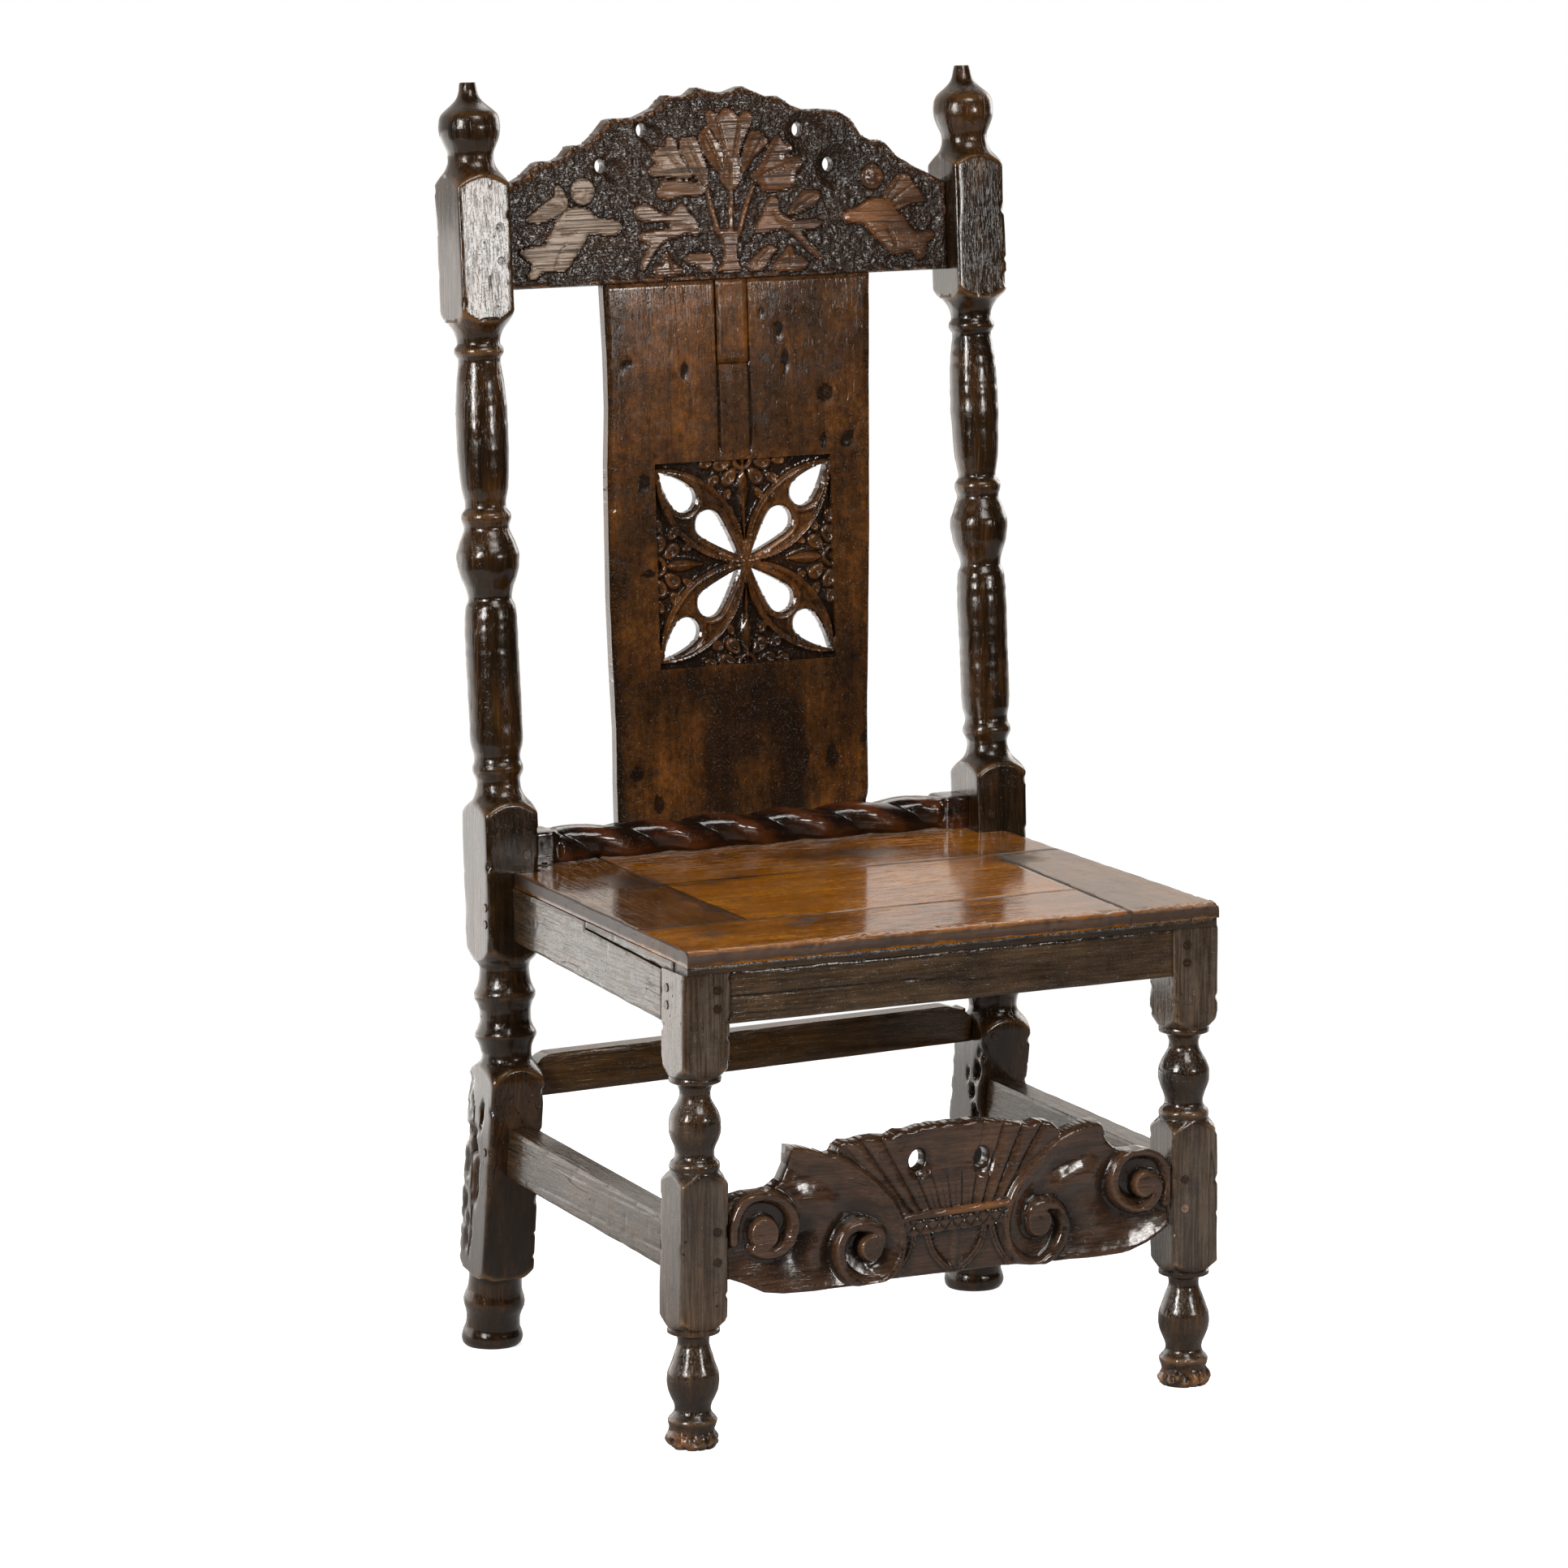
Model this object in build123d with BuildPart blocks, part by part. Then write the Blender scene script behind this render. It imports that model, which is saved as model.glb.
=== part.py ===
from build123d import *
from math import atan, cos, degrees, radians, sin, sqrt
import os

# Wainscot chair, joined oak.  Millimetres; X to the right seen from the front,
# the front faces -Y, Z up. The sizes below count depth from the front legs' front faces;
# at the end the origin goes to the floor under the middle of the whole chair.
os.makedirs("parts", exist_ok=True)

# ---- clearances of the joints
FIT = 0.15            # tenon in its mortise, each side
SEAM = 0.3            # between two boards or a shoulder and its post
PEG_FIT = 0.12        # peg in its hole, each side

# ---- the frame as a whole
MIDDLE_Y = 242.15     # half-way between the seat's front edge and the backs of the finials
LEG = 45.0            # front leg section
LEG_SPAN = 524.0      # outside to outside of the front legs
LEG_X = LEG_SPAN / 2 - LEG / 2
LEG_IN = LEG_SPAN / 2 - LEG
POST_W = 52.0         # back post section, across and deep
POST_D = 56.0
POST_SPAN = 550.0
POST_X = POST_SPAN / 2 - POST_W / 2
POST_IN = POST_SPAN / 2 - POST_W
CREST_BLOCK_W = 50.0
CREST_BLOCK_D = 54.0
RAIL_TOP = 418.0      # front rail and the tops of the front legs
RAIL_BOTTOM = 373.0
RAIL_T = 22.0
RAIL_FRONT_Y = 2.0
TENON_T = 10.0
TENON_L = 26.0

# ---- the back post leans in three lengths: foot, seat block, back
KNEE_Z, HIP_Z = 257.0, 482.0
KNEE_Y = 394.0
FOOT_KICK = 0.144
SEAT_LEAN = 0.049
BACK_LEAN = 0.0905
HIP_Y = KNEE_Y + SEAT_LEAN * (HIP_Z - KNEE_Z)

# ---- the seat falls a little toward the front
SEAT_FRONT_Z = 438.5
SEAT_FALL = 0.018
BOARD_T = 13.0
SEAT_FRONT_Y = -4.0
SEAT_BACK_Y = 420.0
SEAT_HALF_FRONT = 260.0
SEAT_HALF_BACK = 249.5
EDGE_ROUND = 5.0

# ---- side rails and stretchers rise toward the back
RAIL_BACK_IN = 24.0   # how far a side rail's back end stands in from the post's outside
RAIL_RISE = 0.036
SIDE_RAIL_BOTTOM = RAIL_BOTTOM - 1.5
SIDE_RAIL_H = 44.5
STRETCHER_BACK_IN = 18.0
STRETCHER_RISE = 0.032
STRETCHER_BOTTOM = 155.0
STRETCHER_H = 46.0
STRETCHER_T = 25.0

# ---- twist rail, crest and splat
TWIST_D, TWIST_H = 34.0, 29.4
TWIST_LIFT = 0.6      # air between the seat and the rail at the rail's front
TWIST_END = 41.0      # squared length at each end
TWIST_PITCH = 141.0
CREST_FRONT_IN = 16.5  # how far the crest stands back from the faces of the posts
CREST_T = 22.0
CREST_BOTTOM = 961.5
CREST_HALF = POST_X - CREST_BLOCK_W / 2 - SEAM
SPLAT_T = 11.0
SPLAT_W = 264.0
SPLAT_IN = 4.3        # behind the crest's face at the top
SPLAT_FOOT_IN = 17.5  # behind the twist rail's face at the foot
TONGUE = 12.0


def post_y(z):
    """Depth of the middle of a back post at a height."""
    if z < KNEE_Z:
        return KNEE_Y + FOOT_KICK * (KNEE_Z - z)
    if z < HIP_Z:
        return KNEE_Y + SEAT_LEAN * (z - KNEE_Z)
    return HIP_Y + BACK_LEAN * (z - HIP_Z)


def post_face(z):
    """Depth of a back post's front face at a height."""
    return post_y(z) - POST_D / 2


def seat_top(y):
    return SEAT_FRONT_Z + SEAT_FALL * y


def lathe_plane(x, y, z, lean):
    """Plane through a turning axis: local x is the radius, local y runs up the axis."""
    a = atan(lean)
    return Plane(origin=(x, y, z), x_dir=(1, 0, 0), z_dir=(0, -cos(a), sin(a)))


def section_plane(x, y, z, lean):
    """Plane square to a turning axis."""
    a = atan(lean)
    return Plane(origin=(x, y, z), x_dir=(1, 0, 0), z_dir=(0, sin(a), cos(a)))


def axis_of(x, y, z, lean):
    a = atan(lean)
    return Axis((x, y, z), (0, sin(a), cos(a)))


def fitted(outline, low, high, span=None):
    """A turned outline drawn out to lie between two heights."""
    first, last = span or (outline[0][1], outline[-1][1])
    return [(r, low + (h - first) * (high - low) / (last - first)) for r, h in outline]


def turned(x, y, z, lean, outline):
    """Turn a length on the lathe from its half outline, (radius, height) pairs."""
    low, high = outline[0], outline[-1]
    with BuildSketch(lathe_plane(x, y, z, lean)) as half:
        with BuildLine():
            Spline(*outline)
            Polyline(high, (0, high[1]), (0, low[1]), low)
        make_face()
    revolve(half.sketch, axis=axis_of(x, y, z, lean))


def squared(x, y, z, lean, low, high, wide, deep, neck, rise):
    """A square block left between turnings, its corners rounded over to the necks."""
    a = atan(lean)
    corner = sqrt(wide ** 2 + deep ** 2) / 2 + 1
    with BuildSketch(section_plane(x, y + low * sin(a), z + low * cos(a), lean)) as section:
        Rectangle(wide, deep)
    extrude(section.sketch, amount=high - low)
    for end, way in ((low, 1), (high, -1)):
        inner = end + way * rise
        with BuildSketch(lathe_plane(x, y, z, lean)) as shoulder:
            with BuildLine():
                Line((neck, end), (corner + 4, end))
                Line((corner + 4, end), (corner + 4, inner))
                Line((corner + 4, inner), (corner, inner))
                EllipticalCenterArc((neck, inner), corner - neck, rise, 270 if way > 0 else 0, arc_size=90)
            make_face()
        revolve(shoulder.sketch, axis=axis_of(x, y, z, lean), mode=Mode.SUBTRACT)


def box_between(x0, x1, y0, y1, z0, z1, mode=Mode.ADD):
    with Locations(((x0 + x1) / 2, (y0 + y1) / 2, (z0 + z1) / 2)):
        Box(x1 - x0, y1 - y0, z1 - z0, mode=mode)


def mortise(x0, x1, y0, y1, z0, z1):
    """A pocket a little larger than its tenon."""
    box_between(x0 - FIT, x1 + FIT, y0 - FIT, y1 + FIT, z0 - FIT, z1 + FIT, Mode.SUBTRACT)


def rod(start, way, length, radius, mode=Mode.ADD):
    """A round bar from a point along an axis."""
    with BuildSketch(Plane(origin=start, z_dir=way)) as end:
        Circle(radius)
    extrude(end.sketch, amount=length, mode=mode)


# ---- where the pieces of the back stand
TWIST_MID_Z = seat_top(KNEE_Y) + TWIST_LIFT + TWIST_H / 2
TWIST_FRONT_Y = post_face(TWIST_MID_Z) + 18.0
TWIST_BOTTOM = seat_top(TWIST_FRONT_Y) + TWIST_LIFT
TWIST_TOP = TWIST_BOTTOM + TWIST_H
CREST_FRONT_Y = HIP_Y - POST_D / 2 + CREST_FRONT_IN
SPLAT_REF_Z = TWIST_TOP
SPLAT_FRONT_Y = TWIST_FRONT_Y + SPLAT_FOOT_IN
SPLAT_HEAD_Y = CREST_FRONT_Y + BACK_LEAN * (CREST_BOTTOM - HIP_Z) + SPLAT_IN
SPLAT_LEAN = (SPLAT_HEAD_Y - SPLAT_FRONT_Y) / (CREST_BOTTOM - SPLAT_REF_Z)
SPLAT_BOTTOM = TWIST_TOP - 10.0
BACK_RAIL_Y = KNEE_Y - 2.0
BACK_RAIL_BOTTOM = RAIL_BOTTOM + 13.0
BACK_RAIL_TOP = seat_top(BACK_RAIL_Y) - BOARD_T - SEAM
BACK_STRETCHER_Y = KNEE_Y - 8.0
BACK_STRETCHER_T = 20.0
BACK_STRETCHER_TOP = KNEE_Z + 17.0
STRETCHER_FRONT_Y, CARVED_T = 3.0, 22.0
SCROLL_LOW = 128.0    # lowest line of the carved stretcher
SCROLL_HIGH = 263.0   # top of its shell

# ---- the back end of a side rail or stretcher
RAIL_RUN = post_face((RAIL_TOP + RAIL_BOTTOM) / 2) - LEG
STRETCHER_RUN = post_face(STRETCHER_BOTTOM + STRETCHER_H / 2) - LEG
RAIL_BACK_X = POST_SPAN / 2 - RAIL_BACK_IN
STRETCHER_BACK_X = POST_SPAN / 2 - STRETCHER_BACK_IN
RAIL_BACK_Z = SIDE_RAIL_BOTTOM + RAIL_RISE * RAIL_RUN
STRETCHER_BACK_Z = STRETCHER_BOTTOM + STRETCHER_RISE * STRETCHER_RUN


def tenon(x0, long, y0, thick, z0, z1):
    return (x0, x0 + long, y0, y0 + thick, z0, z1)


# ---- tenons, each as (x0, x1, y0, y1, z0, z1) on the +X side of the chair
FRONT_RAIL_TENON = tenon(LEG_IN, TENON_L, RAIL_FRONT_Y + 6, TENON_T, RAIL_BOTTOM + 6, RAIL_TOP - 7)
FRONT_STRETCHER_TENON = tenon(LEG_IN, TENON_L, STRETCHER_FRONT_Y + 6, TENON_T,
                              SCROLL_LOW + 24, SCROLL_LOW + 77)
SIDE_RAIL_FRONT_TENON = tenon(LEG_SPAN / 2 - 17, TENON_T - 1, LEG - 23, 23.0,
                              SIDE_RAIL_BOTTOM + 8, RAIL_TOP - 8)
SIDE_RAIL_BACK_TENON = tenon(RAIL_BACK_X - 16, TENON_T - 1, RAIL_RUN + LEG - 3, 23.0,
                             RAIL_BACK_Z + 8, RAIL_BACK_Z + SIDE_RAIL_H - 6)
SIDE_STRETCHER_FRONT_TENON = tenon(LEG_SPAN / 2 - 18, TENON_T, LEG - 22, 22.0,
                                   STRETCHER_BOTTOM + 7, STRETCHER_BOTTOM + STRETCHER_H - 7)
SIDE_STRETCHER_BACK_TENON = tenon(STRETCHER_BACK_X - 17, TENON_T, STRETCHER_RUN + LEG - 4, 26.0,
                                  STRETCHER_BACK_Z + 7, STRETCHER_BACK_Z + STRETCHER_H - 6)
BACK_RAIL_TENON = tenon(POST_IN, TENON_L, BACK_RAIL_Y + 8, TENON_T, BACK_RAIL_BOTTOM + 6, BACK_RAIL_TOP - 7)
BACK_STRETCHER_TENON = tenon(POST_IN, TENON_L, BACK_STRETCHER_Y + 5, TENON_T,
                             BACK_STRETCHER_TOP - 31, BACK_STRETCHER_TOP - 11)
TWIST_TENON = tenon(POST_IN, TENON_L, TWIST_FRONT_Y + 11, TENON_T, TWIST_BOTTOM + 4, TWIST_TOP - 5)
CREST_TENON = tenon(CREST_HALF - 3, TENON_L + 3, CREST_FRONT_Y + 6, TENON_T,
                    CREST_BOTTOM + 13, CREST_BOTTOM + 73)


def sided(t, side):
    """A tenon box moved to the left (-1) or the right (+1) side."""
    x0, x1 = sorted((side * t[0], side * t[1]))
    return (x0, x1) + t[2:]


def leaning(t):
    """The crest tenon follows the lean of the back: its box as a leaning slab."""
    x0, x1, y0, y1, z0, z1 = t
    foot = BACK_LEAN * (z0 - HIP_Z)
    head = BACK_LEAN * (z1 - HIP_Z)
    return x0, x1, ((y0 + foot, z0), (y1 + foot, z0), (y1 + head, z1), (y0 + head, z1))


def leaning_slab(t, grow, mode=Mode.ADD):
    x0, x1, corners = leaning(t)
    with BuildSketch(Plane.YZ.offset(x0 - grow)) as slab:
        with BuildLine():
            Polyline(*corners, close=True)
        make_face()
        if grow:
            offset(amount=grow, kind=Kind.INTERSECTION)
    extrude(slab.sketch, amount=x1 - x0 + 2 * grow, mode=mode)


# ---- pegs, each as (start point, direction, length, radius); the heads stand just proud
PEG_R = 4.0
PROUD = 0.4


def middle(t, i):
    return (t[2 * i] + t[2 * i + 1]) / 2


def from_front(t, side, face_y, heights):
    """Pegs driven straight back through a post or leg and the tenon in it."""
    length = t[3] - face_y + 8
    return [((side * middle(t, 0), face_y - PROUD, z), (0, 1, 0), length, PEG_R) for z in heights]


def from_side(t, side, span, heights):
    """Pegs driven inward from the outside of a post or leg."""
    outside = span / 2 + PROUD
    return [((side * outside, middle(t, 1), z), (-side, 0, 0), outside - t[0] + 3, PEG_R) for z in heights]


def pair(t):
    """Two peg heights in a tall tenon."""
    third = (t[5] - t[4]) / 4
    return (t[4] + third, t[5] - third)


def crest_pegs_at(side):
    t = CREST_TENON
    face = post_face(middle(t, 2)) + (POST_D - CREST_BLOCK_D) / 2
    return [((side * middle(t, 0), face + BACK_LEAN * (z - middle(t, 2)) - PROUD, z), (0, 1, 0), 36.0, PEG_R)
            for z in pair(t)]


def twist_pegs_at(side):
    z = middle(TWIST_TENON, 2)
    return from_front(TWIST_TENON, side, post_face(z), [z])


def leg_rail_pegs_at(side):
    ahead = from_front(FRONT_RAIL_TENON, side, 0, pair(FRONT_RAIL_TENON))
    return ahead, from_side(SIDE_RAIL_FRONT_TENON, side, LEG_SPAN, pair(SIDE_RAIL_FRONT_TENON))


def post_rail_pegs_at(side):
    return from_side(SIDE_RAIL_BACK_TENON, side, POST_SPAN, pair(SIDE_RAIL_BACK_TENON))


def seat_rail_pegs_at(side):
    ahead, aside = leg_rail_pegs_at(side)
    return ahead + aside + post_rail_pegs_at(side)


def leg_stretcher_pegs_at(side):
    return from_side(SIDE_STRETCHER_FRONT_TENON, side, LEG_SPAN, [middle(SIDE_STRETCHER_FRONT_TENON, 2)])


def post_stretcher_pegs_at(side):
    return from_side(SIDE_STRETCHER_BACK_TENON, side, POST_SPAN, [middle(SIDE_STRETCHER_BACK_TENON, 2)])


def side_stretcher_pegs_at(side):
    return leg_stretcher_pegs_at(side) + post_stretcher_pegs_at(side)


def back_stretcher_pegs_at(side):
    z = middle(BACK_STRETCHER_TENON, 2)
    return from_front(BACK_STRETCHER_TENON, side, post_face(z), [z])


def front_stretcher_pegs_at(side):
    return from_front(FRONT_STRETCHER_TENON, side, 0, pair(FRONT_STRETCHER_TENON))


def peg_holes(pegs):
    for start, way, length, radius in pegs:
        back = tuple(s - 6 * w for s, w in zip(start, way))
        rod(back, way, length + 6 + PEG_FIT, radius + PEG_FIT, Mode.SUBTRACT)


# ---- back posts
FOOT_TURNING = [(24.5, 0), (28, 8), (24.8, 24), (27.8, 43), (24.6, 62), (25.5, 76)]
KNEE_TURNING = [(25, 0), (23, 18), (27.6, 38), (23.4, 58), (28.2, 74), (23, 98), (25.5, 112)]
SHAFT_TURNING = [(26, 10), (20.6, 34), (22, 52), (23.6, 58), (23.4, 68), (24, 110), (24, 180), (23.2, 198)]
BALL_TURNING = [(23.2, 198), (19.2, 207), (22, 224), (26.2, 243), (22.5, 256), (18.4, 266), (21.2, 276),
                (19.2, 289)]
VASE_TURNING = [(19.2, 289), (20.4, 303), (22.8, 335), (22.8, 375), (18, 414), (21, 423), (19.4, 436),
                (23, 458)]
FINIAL_TURNING = [(24, 0), (21, 20), (20, 31), (22.5, 42), (27, 55), (21, 66), (11, 75), (7.6, 83), (7.4, 94)]
BLOCK_LAP = 10.0      # how far a turned length runs into the block beside it
FOOT_H = 70.0         # turned foot, below the lower block
KNEE_H = 106.0        # turned length between the lower block and the seat block
HIP_RISE = 21.0       # seat block above the hip
CREST_BLOCK_LOW = (CREST_BOTTOM - HIP_Z) * sqrt(1 + BACK_LEAN ** 2) - 31.5
CREST_BLOCK_H = 132.0


def back_post(side):
    x = side * POST_X
    foot_y = post_y(0)
    knee_at = KNEE_Z * sqrt(1 + FOOT_KICK ** 2)
    hip_at = (HIP_Z - KNEE_Z) * sqrt(1 + SEAT_LEAN ** 2)
    crest_top = CREST_BLOCK_LOW + CREST_BLOCK_H
    shaft = (SHAFT_TURNING[0][1], VASE_TURNING[-1][1])
    with BuildPart() as post:
        squared(x, foot_y, 0, -FOOT_KICK, FOOT_H, knee_at + 11, POST_W, POST_D, 24, 13)
        squared(x, KNEE_Y, KNEE_Z, SEAT_LEAN, KNEE_H, hip_at + HIP_RISE, POST_W, POST_D, 24, 15)
        squared(x, HIP_Y, HIP_Z, BACK_LEAN, CREST_BLOCK_LOW, crest_top, CREST_BLOCK_W, CREST_BLOCK_D, 21, 14)
        turned(x, foot_y, 0, -FOOT_KICK, fitted(FOOT_TURNING, 0, FOOT_H + BLOCK_LAP / 2))
        turned(x, KNEE_Y, KNEE_Z, SEAT_LEAN, fitted(KNEE_TURNING, 0, KNEE_H + BLOCK_LAP / 2))
        for outline in (SHAFT_TURNING, BALL_TURNING, VASE_TURNING):
            low = shaft_at(outline[0][1], shaft)
            turned(x, HIP_Y, HIP_Z, BACK_LEAN, fitted(outline, low, shaft_at(outline[-1][1], shaft)))
        turned(x, HIP_Y, HIP_Z, BACK_LEAN, [(r, h + crest_top - BLOCK_LAP) for r, h in FINIAL_TURNING])
        # the foot is sawn level with the floor
        box_between(x - POST_W, x + POST_W, foot_y - POST_D, foot_y + POST_D, -POST_W, 0, Mode.SUBTRACT)
        for t in (SIDE_RAIL_BACK_TENON, SIDE_STRETCHER_BACK_TENON):
            x0, x1, y0, y1, z0, z1 = sided(t, side)
            mortise(x0, x1, y0 - 8, y1, z0, z1)
        for t in (BACK_RAIL_TENON, BACK_STRETCHER_TENON, TWIST_TENON):
            mortise(*sided(t, side))
        leaning_slab(sided(CREST_TENON, side), FIT, Mode.SUBTRACT)
        pegs = crest_pegs_at(side) + twist_pegs_at(side) + post_rail_pegs_at(side)
        peg_holes(pegs + post_stretcher_pegs_at(side) + back_stretcher_pegs_at(side))
    return post


def shaft_at(height, span):
    """Height on the post of a height on the drawn shaft."""
    low, high = BLOCK_LAP, CREST_BLOCK_LOW + BLOCK_LAP - 2
    return low + (height - span[0]) * (high - low) / (span[1] - span[0])


# ---- front legs
TOE_TURNING = [(20.5, 0), (24.6, 7), (21, 17), (21.6, 24), (15.8, 35), (22.4, 58), (17.6, 80), (13.7, 92),
               (22.4, 101)]
WAIST_TURNING = [(20, 0), (22.2, 13), (17.4, 26), (22.6, 48), (18.6, 65), (13.6, 77), (21, 87.5)]
COLLAR_R, COLLAR_H = 22.6, 4.5
TOE_H = 103.0         # turned toe, up to the middle of its collar
LOWER_BLOCK_H = 137.0
WAIST_H = 83.0


def front_leg(side):
    x, y = side * LEG_X, LEG / 2
    block_top = TOE_H + 1 + LOWER_BLOCK_H
    upper = block_top + WAIST_H
    with BuildPart() as leg:
        squared(x, y, 0, 0, TOE_H + 1, block_top, LEG, LEG, LEG / 2 - 0.5, 12)
        squared(x, y, 0, 0, upper, RAIL_TOP + 12, LEG, LEG, LEG / 2 - 0.5, 12)
        box_between(x - LEG, x + LEG, -LEG, 2 * LEG, RAIL_TOP, RAIL_TOP + 20, Mode.SUBTRACT)
        turned(x, y, 0, 0, fitted(TOE_TURNING, 0, TOE_H - COLLAR_H / 2 + 0.5))
        turned(x, y, 0, 0, fitted(WAIST_TURNING, block_top - 7, upper - COLLAR_H / 2))
        for z in (TOE_H, upper - 1):
            with Locations((x, y, z)):
                Cylinder(COLLAR_R, COLLAR_H)
        for t in (FRONT_RAIL_TENON, FRONT_STRETCHER_TENON, SIDE_RAIL_FRONT_TENON, SIDE_STRETCHER_FRONT_TENON):
            mortise(*sided(t, side))
        ahead, aside = leg_rail_pegs_at(side)
        peg_holes(ahead + aside + leg_stretcher_pegs_at(side) + front_stretcher_pegs_at(side))
    return leg


# ---- rails and stretchers that run front to back
def side_rail(side, back_x, rise, thick, bottom, height, run, front_tenon, back_tenon, pegs):
    """A raked rail: side outline extruded across, its ends cut to the leg and the post's face."""
    skew = atan((LEG_SPAN / 2 - back_x) / run)
    corners = []
    for z in (bottom, bottom + height):
        y1 = post_face(z + rise * run) - LEG - SEAM
        corners.append(((y1 / cos(skew), z + rise * y1), (-2, z - 2 * rise)))
    origin = (side * LEG_SPAN / 2, LEG, 0)
    along = (-side * sin(skew), cos(skew), 0)
    across = (cos(skew), side * sin(skew), 0)
    (low_back, low_front), (high_back, high_front) = corners
    with BuildPart() as rail:
        with BuildSketch(Plane(origin=origin, x_dir=along, z_dir=across)):
            with BuildLine():
                Polyline(low_front, low_back, high_back, high_front, close=True)
            make_face()
        extrude(amount=-side * thick)
        x0, x1 = sorted((side * LEG_IN / 2, side * LEG_SPAN))
        box_between(x0, x1, 0, LEG + SEAM, bottom - height, bottom + 2 * height, Mode.SUBTRACT)
        x0, x1, ya, yb, z0, z1 = sided(front_tenon, side)
        box_between(x0, x1, ya, yb + 4, z0, z1)
        x0, x1, ya, yb, z0, z1 = sided(back_tenon, side)
        box_between(x0, x1, ya - 8, yb, z0, z1)
        peg_holes(pegs)
    return rail


# ---- rails that run across
def cross_rail(y0, y1, z0, z1, inside, tenon, pegs):
    with BuildPart() as rail:
        half = inside - SEAM
        box_between(-half, half, y0, y1, z0, z1)
        for side in (-1, 1):
            x0, x1, ya, yb, za, zb = sided(tenon, side)
            box_between(min(x0, side * half), max(x1, side * half), ya, yb, za, zb)
        peg_holes(pegs)
    return rail


def both(pegs_at):
    return pegs_at(-1) + pegs_at(1)


left_back_post = back_post(-1)
right_back_post = back_post(1)
left_front_leg = front_leg(-1)
right_front_leg = front_leg(1)

front_seat_rail = cross_rail(RAIL_FRONT_Y, RAIL_FRONT_Y + RAIL_T, RAIL_BOTTOM, RAIL_TOP, LEG_IN,
                             FRONT_RAIL_TENON, both(seat_rail_pegs_at))
back_seat_rail = cross_rail(BACK_RAIL_Y, BACK_RAIL_Y + RAIL_T, BACK_RAIL_BOTTOM, BACK_RAIL_TOP, POST_IN,
                            BACK_RAIL_TENON, [])


def seat_side_rail(side):
    ahead, aside = leg_rail_pegs_at(side)
    return side_rail(side, RAIL_BACK_X, RAIL_RISE, RAIL_T, SIDE_RAIL_BOTTOM, SIDE_RAIL_H, RAIL_RUN,
                     SIDE_RAIL_FRONT_TENON, SIDE_RAIL_BACK_TENON, aside + post_rail_pegs_at(side))


def side_stretcher(side):
    return side_rail(side, STRETCHER_BACK_X, STRETCHER_RISE, STRETCHER_T, STRETCHER_BOTTOM, STRETCHER_H,
                     STRETCHER_RUN, SIDE_STRETCHER_FRONT_TENON, SIDE_STRETCHER_BACK_TENON,
                     side_stretcher_pegs_at(side))


left_seat_rail = seat_side_rail(-1)
right_seat_rail = seat_side_rail(1)
left_side_stretcher = side_stretcher(-1)
right_side_stretcher = side_stretcher(1)

# ---- back stretcher: rises a little to the right, shoulders rounded off
with BuildPart() as back_stretcher:
    half = POST_IN - SEAM
    with BuildSketch(Plane.XZ.offset(-BACK_STRETCHER_Y)):
        with BuildLine():
            top = BACK_STRETCHER_TOP
            foot = Line((-half, top - 38), (half, top - 28))
            Line(foot @ 1, (half, top - 6))
            RadiusArc((half, top - 6), (half - 26, top + 7), -40)
            Line((half - 26, top + 7), (-half + 14, top))
            RadiusArc((-half + 14, top), (-half, top - 10), -22)
            Line((-half, top - 10), foot @ 0)
        make_face()
    extrude(amount=-BACK_STRETCHER_T)
    for side in (-1, 1):
        x0, x1, ya, yb, za, zb = sided(BACK_STRETCHER_TENON, side)
        box_between(min(x0, side * half), max(x1, side * half), ya, yb, za, zb)
    peg_holes(both(back_stretcher_pegs_at))

# ---- carved front stretcher: two scrolls and a shell, sawn from one plank
with BuildPart() as front_stretcher:
    half = LEG_IN - SEAM
    low, high = SCROLL_LOW, SCROLL_HIGH
    shell = [half - 110.7, half - 134.7, half * 0.25, half * 0.13, 0]
    with BuildSketch(Plane.XZ.offset(-STRETCHER_FRONT_Y)):
        with BuildLine():
            Line((0, low + 2), (half - 128.7, low - 1))
            Line((half - 128.7, low - 1), (half - 48.7, low))
            Spline((half - 48.7, low), (half - 23.7, low + 6), (half, low + 17))
            Line((half, low + 17), (half, low + 83))
            Spline((half, low + 83), (half - 21.7, low + 95), (half - 42.7, low + 96))
            Spline((half - 42.7, low + 96), (half - 53.7, low + 105), (half - 59.7, low + 125))
            Spline((half - 59.7, low + 125), (half - 80.7, low + 124), (half - 103.7, low + 118))
            Line((half - 103.7, low + 118), (shell[0], high - 8))
            for i, (a, b) in enumerate(zip(shell, shell[1:])):
                SagittaArc((a, high - 8 + 2 * i), (b, high - 6 + 2 * i), 2.2)
            Line((0, high), (0, low + 2))
        make_face()
        mirror(about=Plane.YZ)
        with Locations((-32, high - 32), (32, high - 32)):
            Ellipse(8.5, 9.5, mode=Mode.SUBTRACT)
    extrude(amount=-CARVED_T)
    for side in (-1, 1):
        x0, x1, ya, yb, za, zb = sided(FRONT_STRETCHER_TENON, side)
        box_between(min(x0, side * half), max(x1, side * half), ya, yb, za, zb)
    # scroll eyes stand forward of the ground
    outer, inner = half - 27.7, half - 135.7
    for x, z in ((-outer, low + 58), (outer, low + 61), (-inner, low + 32), (inner, low + 32)):
        with BuildSketch(Plane.XZ.offset(-STRETCHER_FRONT_Y)):
            with Locations((x, z)):
                Circle(11)
        extrude(amount=3)
    peg_holes(both(front_stretcher_pegs_at))

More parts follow.
